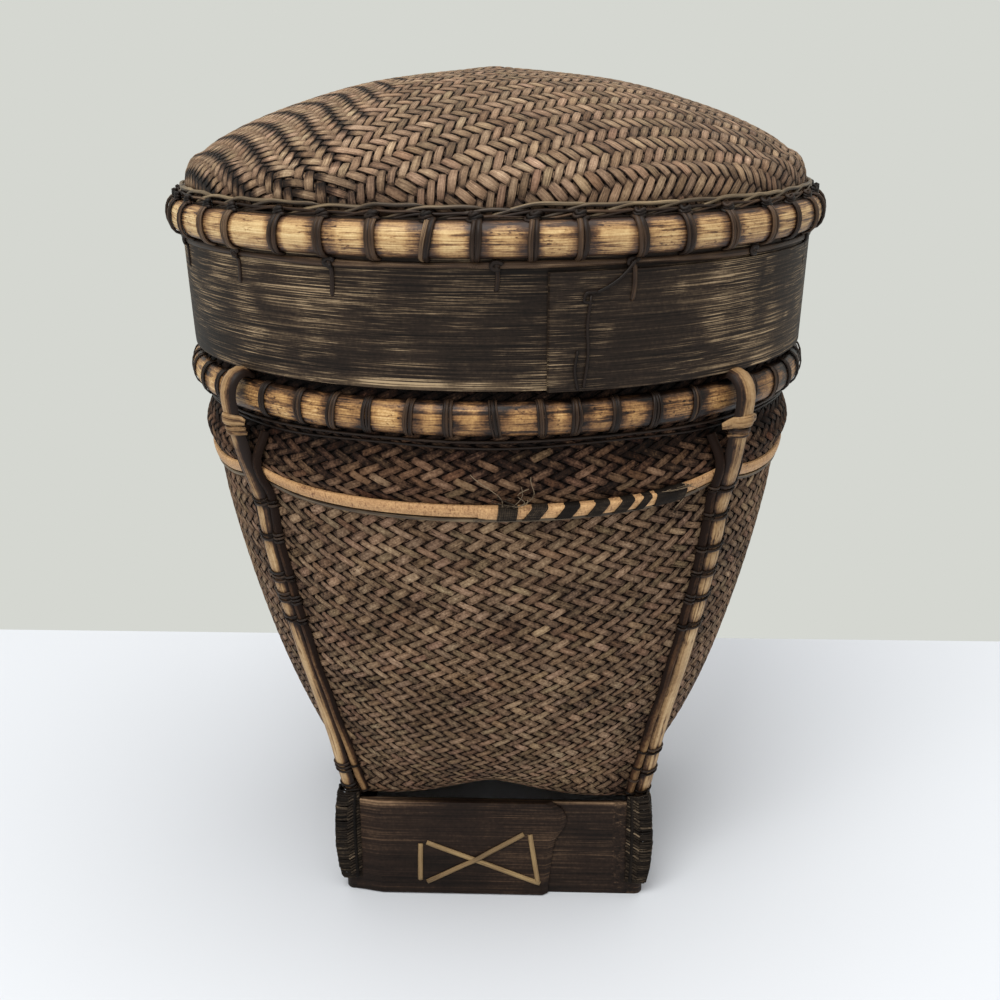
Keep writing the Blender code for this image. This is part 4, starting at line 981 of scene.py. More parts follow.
# Lashings: a few canes side by side, wound round a pair of hoops
LASHING_FLAT = 0.55
MOUTH_LASHING_WIDTH = 3.3
LID_CANE_RADIUS = 0.9
CANE_SPACING = 1.9
# (height, radius, sway)
MOUTH_CORDS = ((190.4, 0.5, 0.25), (188.2, 0.4, 0.5))
CORD_FLAT = 0.9
KNOT_LAPS = 3
KNOT_HALF, KNOT_FLAT = 0.68, 0.9
EDGE_STRAND_FLAT = 0.8
# Strands along the lid hoop: (how much lower, distance from the dome, half width, tone); the second, dark and
# lower, is a painted shadow of the first
PALE_STRAND = (0.0, 1.25, 0.8, 0.05)
SHADOW_STRAND = (1.3, 1.6, 0.7, 0.0)


def lash(sheaf, azimuth, outer, inner, canes, radius, lean, lift):
    """One lashing of parallel canes, leaning by a few degrees of azimuth from top to bottom."""
    gap = radius * LASHING_FLAT + 0.1
    sides = []
    for hoop, angles, sign in ((outer, turning(84, -84, 9), 1), (inner, turning(-84, 84, 7), -1)):
        round_hoop = hoop.back + (hoop.thickness + sign * gap) * np.cos(angles) ** HOOP_FULLNESS
        sides.append((round_hoop, hoop.middle + (hoop.height / 2 + gap) * np.sin(angles)))
    loop_radius, loop_height = np.concatenate(sides, 1)
    share = (loop_height - outer.middle) / (outer.height / 2)
    centre = place((outer.back + inner.back) / 2, azimuth, outer.middle)
    for i in range(canes):
        offset = (i - (canes - 1) / 2) * radius * CANE_SPACING + RANDOM.normal(0, 0.08)
        bend = RANDOM.normal(0, 0.15) * (1 - share ** 2)
        shift = np.degrees((offset * (1 - 0.2 * np.abs(share)) + bend) / outer.back) + lean * share
        path = place(loop_radius, azimuth + shift, loop_height)
        strand(sheaf, path, radius * (1 + RANDOM.normal(0, 0.08)), LASHING_FLAT, path - centre, closed=True,
               lift=RANDOM.normal(lift, 0.1))


def mouth_lacing():
    lacing = Sheaf()
    for azimuth in MOUTH_AZIMUTHS:
        canes = 3 + int(RANDOM.random() < 0.4)
        radius = MOUTH_LASHING_WIDTH / canes / 2
        lash(lacing, azimuth, MOUTH_HOOP, INNER_HOOP, canes, radius, RANDOM.normal(0.1, 0.2), -0.12)
    lacing.build("mouth_lacing_canes", dark_lashing, "mouth_lacing")
    cords = Sheaf()
    azimuth = all_round(240)
    for height, radius, sway in MOUTH_CORDS:
        z = height + sway * wave(azimuth * 9 + height * 9)
        path = place(wall_radius(azimuth, np.minimum(z, NECK_Z)) + radius * 1.2, azimuth, z)
        strand(cords, path, radius, CORD_FLAT, outward(azimuth), closed=True, lift=-0.15)
    cords.build("mouth_cord_strands", dark_lashing, "mouth_cord")


def lid_lacing():
    """Lashings of the lid hoop, each with a knot on top, and the long strands laid over them."""
    lacing = Sheaf()
    top = LID_HOOP.middle + LID_HOOP.height / 2
    turn = turning(0, 330, 10)
    for azimuth in LID_AZIMUTHS:
        lash(lacing, azimuth, LID_HOOP, LID_INNER_HOOP, 2, LID_CANE_RADIUS, RANDOM.normal(-0.1, 0.2), 0.0)
        for lap in range(KNOT_LAPS):
            wide = np.degrees((1.9 - 0.3 * lap) / LID_HOOP.back)
            swing = azimuth + wide * np.cos(turn) + RANDOM.normal(0, 0.2)
            radius = LID_HOOP.back + 0.4 + 1.1 * np.sin(turn)
            path = place(radius, swing, top + 0.2 + lap * 0.85 + 0.4 * np.sin(turn * 2))
            strand(lacing, path, KNOT_HALF, KNOT_FLAT, lift=RANDOM.normal(-0.25, 0.08))
    lacing.build("lid_lacing_canes", dark_lashing, "lid_lacing", "lid")
    rim = Sheaf()
    # dark gathers the dark strands that are a painted shadow under the pale ones
    dark = Sheaf()
    step = FULL_TURN / len(LID_AZIMUTHS)
    share = np.linspace(0, 1, 22)
    taper = np.clip(np.minimum(share, 1 - share) * 9, 0.3, 1)
    for azimuth in LID_AZIMUTHS:
        span = RANDOM.normal(2.0, 0.12)
        crest = RANDOM.normal(3.2, 0.3)
        rise = np.sin(np.clip(share * span, 0, 1) * math.pi / 2) ** 1.5
        fall = np.clip(share * span - 1.35, 0, 1) ** 2
        for sheaf, (lower, near, width, tone) in ((rim, PALE_STRAND), (dark, SHADOW_STRAND)):
            height = top + 0.5 - 0.4 * lower + (crest - lower) * rise - 0.7 * fall
            height = height + 0.12 * np.sin(share * 14 + azimuth)
            radius = np.interp(-height, -DOME_HEIGHT, DOME_RADIUS) + near - 0.55 * fall
            path = place(radius, azimuth + (0.12 + share * span) * step, height)
            strand(sheaf, path, width * taper, EDGE_STRAND_FLAT, lift=RANDOM.normal(tone, 0.08))
    rim.build("lid_edge_strands", rim_strand, "lid_edge_cord", "lid")
    dark.build("lid_edge_shadow_strands", dark_lashing, "lid_edge_cord", "lid")


# Stitches of the collar: (azimuth, top, bottom), and the routes of the seam stitch: (azimuth, height)
COLLAR_FRONT_STITCHES = (
    (-23.0, 245.8, 232.7), (2.8, 245.5, 235.3), (23.4, 244.0, 231.9), (47.5, 244.4, 231.1))
COLLAR_STITCH_STEP = 22.5
COLLAR_CORD_Z = 243.1
COLLAR_CORD_HALF, COLLAR_CORD_FLAT = 1.05, 0.45
STITCH_HALF, STITCH_FLAT = 0.78, 0.6
LOOP_REACH = 1.9
LOOP_HALF, LOOP_FLAT = 0.8, 0.7
SEAM_HALF, SEAM_FLAT = 0.48, 0.8
SEAM_ROUTES = (
    ((16.7, 234.1), (16.2, 226.0), (16.4, 217.0), (15.8, 206.9)),
    ((14.8, 218.0), (14.4, 213.0), (14.9, 206.5)),
    ((23.7, 244.0), (21.4, 239.2), (19.4, 236.6), (17.4, 234.8)),
    ((17.6, 235.2), (15.8, 234.6), (15.6, 232.6), (17.0, 232.0)),
)


def collar_face(azimuth, height):
    """Radius of the collar's outside, with the thick part of its lap."""
    proud = np.interp(azimuth, COLLAR_SHELF, (0.0, 1.0, 1.0, COLLAR_LAP_THIN)) * (COLLAR_PLY + 0.2)
    lapped = (azimuth < COLLAR_SHELF[-1]) & (height < COLLAR_LAP_TOP + 1)
    return collar_outer(height) + np.where(lapped, proud, 0.0)


def collar_stitching():
    cord = Sheaf()
    azimuth = all_round(240)
    z = COLLAR_CORD_Z + 0.25 * wave(azimuth * 5 + 30)
    wide = COLLAR_CORD_HALF * (1 + 0.2 * wave(azimuth * 11))
    pale = 0.02 + 0.12 * wave(azimuth * 2 + 75)
    path = place(collar_face(azimuth, z) + 0.6, azimuth, z)
    strand(cord, path, wide, COLLAR_CORD_FLAT, outward(azimuth), closed=True, lift=pale)
    stitches = list(COLLAR_FRONT_STITCHES)
    angle = COLLAR_FRONT_STITCHES[-1][0] + COLLAR_STITCH_STEP
    while angle < FULL_TURN + COLLAR_FRONT_STITCHES[0][0] - 12:
        stitches.append((angle, 244.6, 233.0 + RANDOM.normal(0, 0.8)))
        angle += COLLAR_STITCH_STEP + RANDOM.normal(0, 1.0)
    share = np.linspace(0, 1, 10)
    turn = turning(20, 300, 9)
    for angle, high, low in stitches:
        height = high + (low - high) * share
        swing = angle + 0.35 * np.sin(share * 3) - 0.25
        over = np.exp(-((height - COLLAR_CORD_Z) / 1.3) ** 2) * 1.1
        radius = collar_face(swing, height) + 0.35 + over
        radius[-1] -= 0.7
        path = place(radius, swing, height)
        strand(cord, path, STITCH_HALF, STITCH_FLAT, outward(swing), lift=-0.12)
        swing = angle + np.degrees(LOOP_REACH / COLLAR_ROUND) * np.cos(turn) * 0.9
        height = COLLAR_CORD_Z + 1.1 * np.sin(turn)
        path = place(collar_face(swing, height) + 1.3, swing, height)
        strand(cord, path, LOOP_HALF, LOOP_FLAT, outward(swing), lift=-0.2)
    cord.build("collar_stitching_cord", dark_lashing, "collar_stitching", "lid")
    seam = Sheaf()
    for route in SEAM_ROUTES:
        swing, height = np.array(route).T
        path = spline(place(collar_outer(height) + COLLAR_PLY + 0.65, swing, height), 14)
        out = outward(heading(path[:, 0], path[:, 1]))
        strand(seam, path, SEAM_HALF, SEAM_FLAT, out, lift=-0.25)
    seam.build("seam_stitch_cord", dark_lashing, "seam_stitch", "lid")


# Belt: a flat cane round the body, its second ply lapped on the front and held by wound threads
BELT_HEIGHT = 4.0
BELT_THICKNESS = 1.2
BELT_LAP = (-0.6, 35.0)
# (azimuth, width) of the stripes, and (first, last) azimuth of the wraps
BELT_STRIPES = ((8.8, 2.6), (14.2, 2.5), (19.4, 2.4), (24.0, 2.2), (27.6, 1.5))
BELT_WRAPS = ((2.6, 5.8), (30.0, 35.8))
BELT_ROUND = 105
THREAD_STEP = 0.34
THREAD_RIDGE = 0.09
LOOSE_HALF = 0.15
WRAP_LEAN, STRIPE_LEAN = 0.15, 0.85
BACKING_DROP, BACKING_HEIGHT, BACKING_THICKNESS = 3.1, 1.2, 0.9

# Outlines of a band on the wall: (share of the half height, share of the thickness)
CANE_OUTLINE = ((-1.0, 0.0), (-1.0, 0.68), (-0.8, 1.0), (0.0, 1.08), (0.8, 1.0), (1.0, 0.68), (1.0, 0.0))
WRAP_OUTLINE = ((-1.0, 0.0), (-1.0, 0.75), (-0.82, 1.0), (0.0, 1.06), (0.82, 1.0), (1.0, 0.75), (1.0, 0.0))


def belt_rings(azimuth, level, height, offset, thickness, outline, lean=0.0, ridge=0.0):
    """Rings of a band on the wall that leans by some degrees and rises at the corners."""
    line = level + belt_rise(azimuth)
    rings = []
    for up, out in outline:
        swing = azimuth + lean * up
        normal = wall_normal(swing, line)
        rise = unit(np.cross(sideways(swing), -normal))
        rise = rise * np.sign(rise[:, 2:])
        proud = np.full(len(swing), offset + thickness * out + ridge * (out > 0))
        rings.append(wall_point(swing, line) + rise * height / 2 * up + normal * proud[:, None])
    return np.stack(rings, 1)


def belt_band(sheaf, azimuth, level, height, offset, thickness, lift, closed=True):
    across = [up * height / 2 + out for up, out in CANE_OUTLINE]
    rings = belt_rings(azimuth, level, height, offset, thickness, CANE_OUTLINE)
    sheaf.add(rings, np.radians(azimuth) * BELT_ROUND, across, lift=lift, closed=closed)


def belt():
    strip = Sheaf()
    belt_band(strip, all_round(240), BELT_Z, BELT_HEIGHT, 0.25, BELT_THICKNESS, 0.1)
    first, last = BELT_LAP
    azimuth = np.linspace(first, last, 50)
    taper = np.clip(np.minimum(azimuth - first, last - azimuth) / 1.5, 0.15, 1)
    belt_band(strip, azimuth, BELT_Z + 0.1, BELT_HEIGHT * 0.98, 0.3 + BELT_THICKNESS * 1.08,
              BELT_THICKNESS * taper, 0.12, closed=False)
    strip.build("belt_cane", belt_cane, "belt", sharp=45)
    backing = Sheaf()
    belt_band(backing, all_round(240), BELT_Z - BACKING_DROP, BACKING_HEIGHT, 0.2, BACKING_THICKNESS, -0.12)
    backing.build("belt_backing_cane", rim_strand, "belt_backing", sharp=45)


def belt_patch(sheaf, first, last, lean):
    """Threads wound side by side over the belt's lap from one azimuth to another."""
    turns = max(2, int((last - first) / THREAD_STEP))
    azimuth = np.linspace(first, last, 4 * turns + 1)
    turn = np.linspace(0, turns * math.pi, len(azimuth))
    ridge = THREAD_RIDGE * np.abs(np.sin(turn))
    rings = belt_rings(azimuth, BELT_Z, BELT_HEIGHT + 0.6, 0.2, 2 * BELT_THICKNESS + 0.75, WRAP_OUTLINE,
                       lean, ridge)
    # Each thread lighter on one side and darker on the other: painted light and shade
    lift = 0.1 * np.sin(turn * 2) - 0.1
    sheaf.add(rings, np.radians(azimuth) * BELT_ROUND, np.arange(len(WRAP_OUTLINE)), lift=lift)


def loose_threads(sheaf, first, last, count, rise):
    """Frayed ends that curl away from a wrap."""
    share = np.linspace(0, 1, 12)
    for _ in range(count):
        start = RANDOM.uniform(first, last)
        swing = start + RANDOM.normal(0, 2.6) * share + 1.2 * np.sin(share * RANDOM.uniform(2, 7))
        height = BELT_Z + belt_rise(start) + 1.5 + RANDOM.normal(rise, 3.0) * share
        radius = wall_radius(swing, height) + 2.2 + 1.2 * np.sin(share * 2.6)
        path = place(radius, swing, height)
        strand(sheaf, path, LOOSE_HALF, sides=4, lift=RANDOM.normal(0.45, 0.15))


def belt_wraps():
    for number, (first, last) in enumerate(BELT_WRAPS, start=1):
        wrap = Sheaf()
        belt_patch(wrap, first, last, WRAP_LEAN)
        loose_threads(wrap, first, last, 9, 6.0 if number == 1 else -2.0)
        wrap.build(f"belt_wrap_{number}_thread", bound_fibre, f"belt_wrap_{number}")
    stripes = Sheaf()
    for azimuth, wide in BELT_STRIPES:
        belt_patch(stripes, azimuth - wide / 2, azimuth + wide / 2, STRIPE_LEAN)
    stripes.build("belt_lap_stripes", bound_fibre)


# Corner struts: half-round canes up the four corners and over the mouth hoop
STRUT_HALF = 3.3
STRUT_THICKNESS = 2.6
STRUT_BACK = 0.3
BELT_LIFT = 1.5
LEANING_ASIDE = 2.7
HOOP_OUTER = MOUTH_HOOP.back + MOUTH_HOOP.thickness
RIGHT_BANDS = (43.4, 52.0, 61.6, 116.3, 126.9, 136.8, 146.1, 157.4, 167.6)
LEFT_BANDS = (44.4, 53.0, 117.1, 125.9, 133.8, 149.1, 161.9)
BANDED_FROM = 112
THREADS = (-0.85, 0.0, 0.85)
THREAD_FLAT = 0.8
STRUT_THREAD_HALF, SIDE_THREAD_HALF = 0.47, 0.45
RIGHT_WIDENING = 1.12
CANE_FULLNESS = 0.7
# (light middle, dark rims, shadow from the belt up)
LEFT_TONES = (0.12, 0.16, 0.3)
RIGHT_TONES = (0.2, 0.08, 0.09)
STRUT_SHADOW_LEVELS = (163, 167, 181, 184)
# (distance from the strut's middle, half width, thickness)
SIDE_FACE_STRIP = (4.7, 1.2, 1.3)
FRONT_FACE_STRIP = (5.15, 1.75, 1.8)
# (height, flare, lean, width, tone)
RIGHT_TIE = (191.0, 8.4, 1.6, 2.0, -0.02)
LEFT_TIE = (191.0, 5.4, 1.6, 2.0, -0.02)
LOWER_TIES = ((186.4, 4.5, 0.6, 0.95, -0.14), (187.9, 4.5, 0.6, 0.95, -0.14))
# How a strut arches over the mouth hoop: (radius beyond the hoop, height)
ARCH = ((2.0, 187.6), (3.6, 194.3), (4.0, 199.1), (3.0, 202.2), (0.4, 204.3), (-3.0, 203.1))


def strut_line():
    """(radius, height) points of a strut's inner face from the foot to its tip."""
    heights = [39.6, 44.0, 49.2, 54.7, *np.linspace(65, 160, 12)]
    points = [(CORNER_AT(z) + STRUT_BACK, z) for z in heights]
    points += [(CORNER_AT(z) + STRUT_BACK + BELT_LIFT, z) for z in (BELT_Z + 2.4, BELT_Z + 7.6)]
    points += [(HOOP_OUTER + r, z) for r, z in ARCH]
    return spline(np.array(points, float), 110)


STRUT_LINE = strut_line()
STRUT_ENDS = ((0, 4, 96, 109), (0.9, 1, 1, 1.08))
HOOK_FROM, HOOK_REACH = 84, 5


def strut_azimuth(number, radius, height):
    """Where a strut runs: the right front one lies a little towards its side face."""
    aside = LEANING_ASIDE if number == 1 else 0.0
    return CORNERS[number - 1] + np.degrees(aside * np.interp(height, (164, 186), (1.0, 0.0)) / radius)


def half_cane(points, side, normals, half, thick, angles, fullness):
    """Rings of a half-round cane that lies on its flat side."""
    rings = points[:, None] + side[:, None] * (half[:, None] * np.cos(angles))[..., None]
    return rings + normals[:, None] * (thick * np.sin(angles) ** fullness)[..., None]


def off_band(height, bands):
    return np.min([np.abs(height - band) for band in bands], axis=0)


def corner_strut(number, bands):
    radius, height = STRUT_LINE.T
    order = np.arange(len(height))
    ahead = unit(np.gradient(STRUT_LINE, axis=0))
    azimuth = strut_azimuth(number, radius, height)
    points = place(radius, azimuth, height)
    normals = outward(azimuth) * ahead[:, 1:] - UP * ahead[:, :1]
    side = sideways(azimuth)
    near = off_band(height, bands)
    swell = np.where(height > BANDED_FROM + 2, 1 - 0.05 * np.cos(np.clip(near / 3.2, 0, 1) * math.pi), 1.0)
    half = STRUT_HALF * swell * np.interp(order, *STRUT_ENDS)
    half = half * (RIGHT_WIDENING if number in (1, 2) else 1.0)
    angles = turning(180, 0, 11)
    across = np.cos(angles)
    rings = half_cane(points, side, normals, half, STRUT_THICKNESS * swell[:, None], angles, CANE_FULLNESS)
    banded = height > BANDED_FROM
    bright, rim, shadow = LEFT_TONES if bands is LEFT_BANDS else RIGHT_TONES
    shadow = np.interp(height, STRUT_SHADOW_LEVELS, (0.0, shadow, shadow, 0.0))
    # Darker next to the thread bands
    near_band_dark = np.where(banded, 0.45, 0.25) * np.exp(-(near / 2.4) ** 2)
    inner = across if number in (2, 4) else -across
    # The arch over the hoop is darker, most on its inner side: painted shade
    hooked = np.clip((order - HOOK_FROM) / HOOK_REACH, 0, 1)[:, None]
    hook = hooked * (0.08 + 0.26 * np.clip(inner, 0, 1) ** 0.7)
    strut = Sheaf()
    strut.add(rings, reach(points), across * STRUT_HALF, np.abs(across) ** 4,
              (bright - near_band_dark - shadow)[:, None] - rim * banded[:, None] * across ** 2 - hook)
    strut.build(f"corner_strut_{number}_cane", strut_cane, f"corner_strut_{number}", sharp=50)
    threads = Sheaf()
    turn = turning(196, -16, 13)
    full = np.sign(np.sin(turn)) * np.abs(np.sin(turn)) ** CANE_FULLNESS
    for level in [band + offset for band in bands for offset in THREADS]:
        i = int(np.argmin(np.abs(height[:90] - level - RANDOM.normal(0, 0.08))))
        wide = (half[i] + 0.3) * np.cos(turn)
        out = (STRUT_THICKNESS * swell[i] + 0.28) * full
        path = np.outer(wide, side[i]) + np.outer(out, normals[i])
        path = path + np.outer(np.linspace(-0.25, 0.25, 13), UP)
        tone = RANDOM.normal(-0.1, 0.06)
        strand(threads, points[i] + path, STRUT_THREAD_HALF, THREAD_FLAT, path, lift=tone)
    threads.build(f"corner_strut_{number}_threads", dark_lashing)


def side_strips(number, bands):
    """The narrow strips beside a strut, each held by small loops at the thread bands."""
    level = np.array([43.3, 49.2, 54.7, *np.linspace(62, 185.6, 96)])
    radius = CORNER_AT(level)
    lift = 0.35 + np.interp(level, (164, 170, 175, 182), (0, 1.5, 1.5, 0.75))
    shade = np.interp(level, (62, 112, 150), (-0.12, -0.34, -0.5))
    pinch = 1 - 0.18 * np.exp(-(off_band(level, bands) / 1.6) ** 2)
    angles = turning(180, 0, 7)
    turn = turning(200, -20, 11)
    for title, sign in (("left", -1), ("right", 1)):
        on_side_face = (title == "right") == (number in (1, 3))
        away, half, thick = SIDE_FACE_STRIP if on_side_face else FRONT_FACE_STRIP
        offset = away + 0.2 * np.sin(level * 0.26 + number)
        azimuth = strut_azimuth(number, radius, level) + sign * np.degrees(offset / radius)
        normal = wall_normal(azimuth, level)
        points = wall_point(azimuth, level) + normal * lift[:, None]
        side = unit(np.cross(normal, np.gradient(points, axis=0)))
        rings = half_cane(points, side, normal, half * pinch, thick, angles, 0.8)
        strip = Sheaf()
        strip.add(rings, reach(points), np.cos(angles) * 1.3, np.abs(np.cos(angles)) ** 4, shade, 0.1)
        node = f"side_strip_{number}_{title}"
        strip.build(f"{node}_cane", side_cane, node, sharp=50)
        loops = Sheaf()
        for height in [band + offset for band in bands for offset in THREADS]:
            i = int(np.argmin(np.abs(level - height)))
            wide = np.outer((half + 0.2) * np.cos(turn), side[i])
            path = wide + np.outer((thick + 0.3) * np.sin(turn), normal[i])
            strand(loops, points[i] + path, SIDE_THREAD_HALF, THREAD_FLAT, path, lift=-0.15)
        loops.build(f"{node}_loops", dark_lashing)


def strut_tie(number):
    """Cane wound round the strut below the mouth hoop: a flared upper wrap and a lower one."""
    tie = Sheaf()
    share = np.linspace(-1, 1, 17)
    end_part = np.abs(share) ** 3
    for z, flare, lean, wide, lift in (RIGHT_TIE if number in (1, 2) else LEFT_TIE, *LOWER_TIES):
        i = int(np.argmin(np.abs(STRUT_LINE[:100, 1] - z)))
        strut_part = np.clip(np.abs(share) * flare / 3.6, 0, 1)
        front = STRUT_THICKNESS * np.sqrt(1 - strut_part ** 2) + 0.55
        radius = STRUT_LINE[i, 0] + front * (1 - end_part) - 0.4 * end_part
        swing = CORNERS[number - 1] + np.degrees(share * flare / radius)
        path = place(radius, swing, z - lean * np.abs(share) ** 1.6 * 0.6)
        strand(tie, path, wide * (1 - 0.45 * end_part), 0.72 / wide, outward(swing), sides=10,
               lift=RANDOM.normal(lift, 0.04))
    tie.build(f"strut_tie_{number}_canes", strut_cane, f"strut_tie_{number}")


def corners():
    for number in (1, 2, 3, 4):
        bands = LEFT_BANDS if number in (3, 4) else RIGHT_BANDS
        corner_strut(number, bands)
        side_strips(number, bands)
        strut_tie(number)


# Foot: the square band, its front ply, the corner bindings and the bow-tie stitch
# (height, inset of the outer face)
FOOT_SECTION = np.array([
    (0.0, 0.3), (0.5, 0.0), (6, 0.0), (14, 0.05), (22, 0.1), (30, 0.05), (37, 0.0), (38.4, 0.1), (38.7, 0.5)])
PLY_START = -52.0
PLY_THINNEST = 0.06
# Where the front ply ends: (height, x)
PLY_END = ((4.0, 20.5), (10.4, 21.3), (23.4, 23.1), (28.0, 26.0), (32.0, 27.4), (36.5, 25.5), (39.4, 21.5))
PLY_LENGTH = 77
PLY_TAPER = 10
RIM_FROM = 38


def foot_outline(offset):
    """Plan points of the rounded square, from the front round towards +X."""
    radius = max(FOOT_CORNER_RADIUS + offset, 0.4)
    middle_out = (FOOT_HALF + offset - radius) * math.sqrt(2)
    points = []
    for corner in CORNERS:
        middle = outward(corner) * middle_out
        points += [middle + outward(corner + swing) * radius for swing in np.linspace(-45, 45, 7)]
        before = points[-1]
        after = outward(corner + 90) * middle_out + outward(corner + 45) * radius
        points += [before * (1 - share) + after * share for share in np.linspace(0, 1, 13)[1:-1]]
    return np.array(points)


def foot_band():
    band = Sheaf()
    height = FOOT_SECTION[:, 0]
    rings = [foot_outline(-inset) + UP * z for z, inset in FOOT_SECTION]
    rings = np.stack(rings + [foot_outline(-FOOT_THICKNESS) + UP * z for z in height[::-1]], 1)
    across = np.concatenate([height, height[::-1] + FOOT_THICKNESS])
    # Painted highlight along the top of the outer face; the inner face darker
    top_highlight_inner_dark = np.concatenate([np.where(height > RIM_FROM, 0.25, 0.0), np.full(len(height), -0.1)])
    band.add(rings, reach(rings[:, 1]), across, 0.0, top_highlight_inner_dark[None], 0.3, closed=True)
    z = np.linspace(0.6, 39.3, 16)
    end = smooth_curve(*np.array(PLY_END).T)(z)
    share = np.linspace(0, 1, 36)[:, None]
    x = PLY_START + share * (end - PLY_START)
    taper = np.minimum((x - PLY_START) / PLY_TAPER, (end - x) / 0.8 + 0.35)
    thick = FOOT_PLY * np.clip(taper, PLY_THINNEST, 1)

    def upright(depth):
        return np.stack(np.broadcast_arrays(x, -(FOOT_HALF + depth), z), -1)

    rings = np.concatenate([upright(0.15 + thick), upright(0.1)[:, ::-1]], 1)
    across = np.concatenate([z, z[::-1] + FOOT_THICKNESS])
    top = (across > RIM_FROM) & (across < RIM_FROM + 2)
    # Painted highlight along the ply's top edge, fading out to the right
    placed_tone = 0.3 * top * np.clip(1.6 - 3 * share, 0, 1)
    band.add(rings, share[:, 0] * PLY_LENGTH, across, 0.0, placed_tone + 0.02, 0.35)
    band.build("foot_band_bamboo", foot_bamboo, "foot_band", sharp=40)


BINDING_REACH = 6.9
BINDING_BULGE = 4.4
BINDING_LOW = 5.5
BINDING_HIGH = 42.4
BINDING_COILS = 62
BRAID_STEP = 1.2
COIL_HALF, BRAID_CORE_HALF, BRAID_HALF = 0.4, 0.95, 0.36


def binding_point(corner, share, height, proud):
    """Place on a binding: share runs from -1 to 1 round the corner, between its inner edges."""
    share, height = np.broadcast_arrays(share, height)
    level = np.clip((height - BINDING_LOW) / (BINDING_HIGH - BINDING_LOW), 0, 1)
    swell = 0.35 + 0.65 * np.sin(math.pi * level) ** 0.6
    side = share * BINDING_REACH * math.sqrt(0.5)
    away = (FOOT_HALF + 0.45) * math.sqrt(2) - np.abs(side) - 1.3 * np.exp(-(share / 0.4) ** 2)
    away = away + BINDING_BULGE * swell * (1 - np.abs(share) ** 2.6) + proud
    return outward(corner) * away[..., None] + sideways(corner) * side[..., None] + UP * height[..., None]


def foot_bindings():
    """Fine fibre coiled round each corner of the foot, braided along its two inner edges."""
    share = np.linspace(-1, 1, 15)
    core = np.linspace(BINDING_LOW + 1, BINDING_HIGH - 0.5, 24)
    proud = 0.8 + 0.55 * np.sin(np.linspace(0.3, 2.9, 7))
    for number, corner in enumerate(CORNERS, start=1):
        binding = Sheaf()
        out = outward(corner)
        for z in np.linspace(BINDING_LOW, BINDING_HIGH, BINDING_COILS):
            slant = RANDOM.normal(0, 0.15) + RANDOM.normal(0.3, 0.3) * share
            path = binding_point(corner, share, z + slant, RANDOM.normal(0, 0.12))
            strand(binding, path, COIL_HALF, 0.9, out, sides=5, lift=RANDOM.normal(0, 0.1))
        for sign in (-1, 1):
            path = binding_point(corner, 0.86 * sign, core, 0.45)
            strand(binding, path, BRAID_CORE_HALF, 0.9, out, lift=-0.2)
            for z in np.arange(BINDING_LOW + 2, BINDING_HIGH - 2, BRAID_STEP):
                rise = z + np.linspace(0, 2.0, 7) + RANDOM.normal(0, 0.1)
                path = binding_point(corner, sign * np.linspace(0.68, 1.04, 7), rise, proud)
                strand(binding, path, BRAID_HALF, 0.8, out, sides=5, lift=RANDOM.normal(0.14, 0.1))
        binding.build(f"foot_binding_{number}_fibre", bound_fibre, f"foot_binding_{number}")


# Routes of the stitch on the front of the foot: (x, z)
STITCH_ROUTES = (
    ((-27.0, 21.8), (-27.4, 6.4)),
    ((-24.7, 22.4), (-4.0, 14.3), (17.5, 5.6)),
    ((-24.8, 5.5), (-6.0, 16.0), (11.5, 26.6)),
    ((13.8, 26.4), (16.8, 5.8)),
)
STITCH_ON_TOP = 2
FOOT_STITCH_HALF, FOOT_STITCH_FLAT = 0.98, 0.55


def foot_stitch():
    stitch = Sheaf()
    for number, route in enumerate(STITCH_ROUTES):
        path = spline(np.array([(x, 0.0, z) for x, z in route]), 18)
        proud = FOOT_PLY * np.clip((path[:, 0] - PLY_START) / PLY_TAPER, PLY_THINNEST, 1)
        ease = np.sin(np.linspace(0, math.pi, 18)) ** 0.3
        over = 0.6 * (number == STITCH_ON_TOP) * np.exp(-((path[:, 0] + 6) / 3) ** 2)
        path[:, 1] = -(FOOT_HALF + 0.15 + proud + 0.35 * ease + over)
        tone = RANDOM.normal(0.0, 0.05)
        strand(stitch, path, FOOT_STITCH_HALF, FOOT_STITCH_FLAT, outward(0), sides=8, lift=tone)
    stitch.build("foot_stitch_cane", stitch_cane, "foot_stitch")


PARTS = (woven_body, base_mat, body_lining, woven_lid, hoops, neck_bands, lid_collar, mouth_lacing,
         lid_lacing, collar_stitching, belt, belt_wraps, corners, foot_band, foot_bindings, foot_stitch)
for build_part in PARTS:
    build_part()


# Floor, light and camera, in metres

BACKDROP = srgb(213, 215, 209)
BACKDROP_ROUGHNESS = 0.9
TABLE = srgb(225, 228, 231)
TABLE_ROUGHNESS = 0.6
TABLE_BACK = 0.1825
SKY = srgb(240, 240, 242)
SKY_STRENGTH = 0.68
STAGE_REACH = 4.0
AIM = Vector((0, 0, 0.15))
LAMPS = (("key", (-0.35, -0.95, 1.4), 0.8, 15.0), ("top", (0.2, -0.15, 1.5), 1.2, 9.0))
CAMERA_PLACE = (0.0227, -0.4821, 0.2939)
CAMERA_TURNS = ((2.6, "Z"), (90 - 17.93, "X"), (-0.37, "Z"))
CAMERA_LENS = 47.16


def stage_plane(name, front, back, material):
    mesh = bpy.data.meshes.new(name)
    left, right = -STAGE_REACH, STAGE_REACH
    corners_of_plane = [(left, front, 0), (right, front, 0), (right, back, 0), (left, back, 0)]
    mesh.from_pydata(corners_of_plane, [], [(0, 1, 2, 3)])
    plane = bpy.data.objects.new(name, mesh)
    bpy.context.scene.collection.objects.link(plane)
    mesh.materials.append(material)


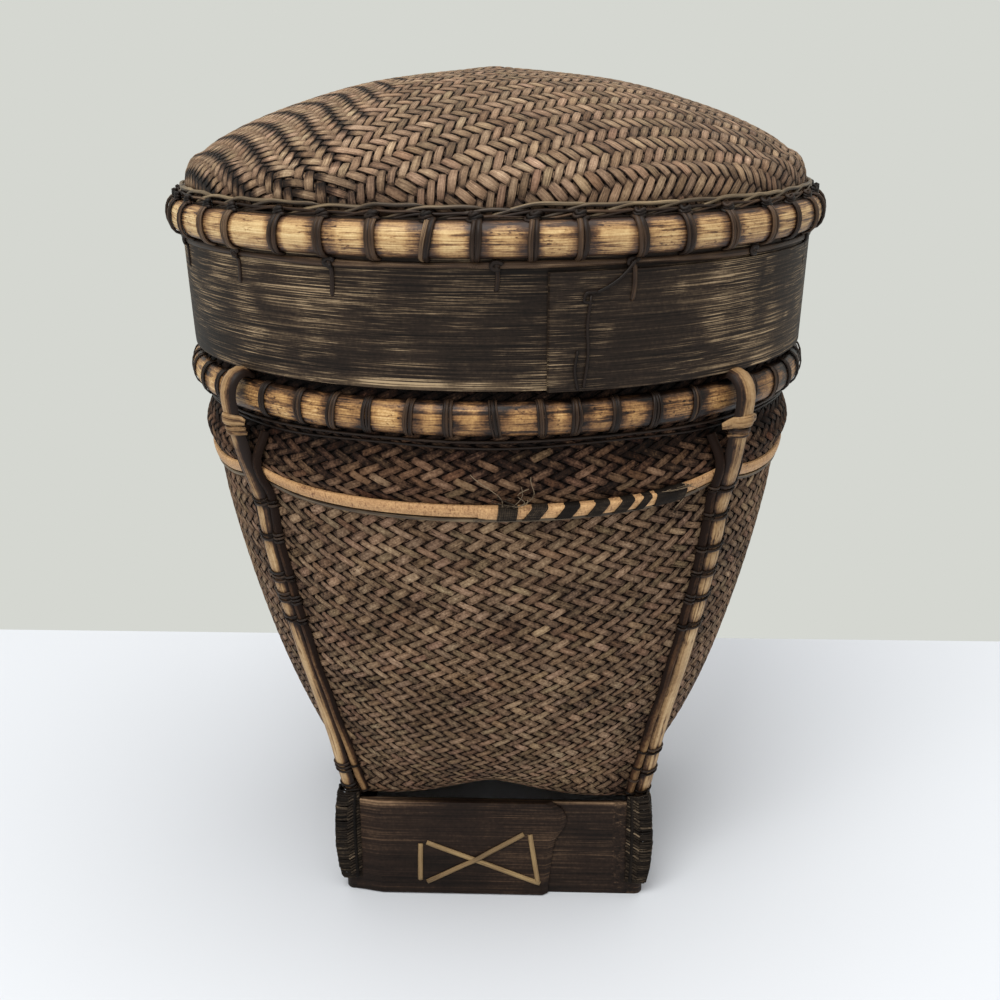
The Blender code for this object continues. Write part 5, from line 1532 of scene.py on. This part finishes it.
def backdrop_where_seen(tree, lit, shown, output):
    """Shows one shader to rays from the camera and off or through shiny things, else the lit one."""
    rays = add_node(tree, "LightPath", {}).outputs
    seen = rays["Is Camera Ray"]
    for title in ("Is Glossy Ray", "Is Transmission Ray"):
        seen = add_node(tree, "Math", {0: seen, 1: rays[title]}, operation="ADD", use_clamp=True).outputs[0]
    mix = add_node(tree, "MixShader", {0: seen, 1: lit.outputs[0], 2: shown.outputs[0]})
    set_inputs(tree, tree.nodes[output], {"Surface": mix.outputs[0]})


def make_floor():
    """A white table that ends behind the basket, and the pale backdrop beyond it."""
    table, tree, shader = new_material("table")
    set_inputs(tree, shader, {"Base Color": TABLE, "Roughness": TABLE_ROUGHNESS})
    stage_plane("table", -STAGE_REACH, TABLE_BACK, table)
    wall, tree, shader = new_material("backdrop")
    set_inputs(tree, shader, {"Base Color": BACKDROP, "Roughness": BACKDROP_ROUGHNESS})
    backdrop_where_seen(tree, shader, add_node(tree, "Emission", {"Color": BACKDROP}), "Material Output")
    stage_plane("backdrop", TABLE_BACK, STAGE_REACH, wall)


def make_light():
    world = bpy.data.worlds.new("studio")
    bpy.context.scene.world = world
    world.use_nodes = True
    tree = world.node_tree
    background = tree.nodes["Background"]
    set_inputs(tree, background, {"Color": SKY, "Strength": SKY_STRENGTH})
    backdrop_where_seen(tree, background, add_node(tree, "Background", {"Color": BACKDROP}), "World Output")
    for name, position, size, power in LAMPS:
        lamp = bpy.data.lights.new(name, "AREA")
        lamp.size = size
        lamp.energy = power
        piece = bpy.data.objects.new(name, lamp)
        piece.location = position
        piece.rotation_euler = (AIM - Vector(position)).to_track_quat("-Z", "Y").to_euler()
        bpy.context.scene.collection.objects.link(piece)


def make_camera():
    camera = bpy.data.objects.new("camera", bpy.data.cameras.new("camera"))
    camera.data.lens = CAMERA_LENS
    camera.data.sensor_width = 36.0
    camera.data.clip_start = 0.01
    camera.matrix_world = Matrix.Translation(CAMERA_PLACE)
    for angle, axis in CAMERA_TURNS:
        camera.matrix_world = camera.matrix_world @ Matrix.Rotation(math.radians(angle), 4, axis)
    bpy.context.scene.collection.objects.link(camera)
    bpy.context.scene.camera = camera


make_floor()
make_light()
make_camera()
bpy.context.scene.view_settings.view_transform = "Standard"
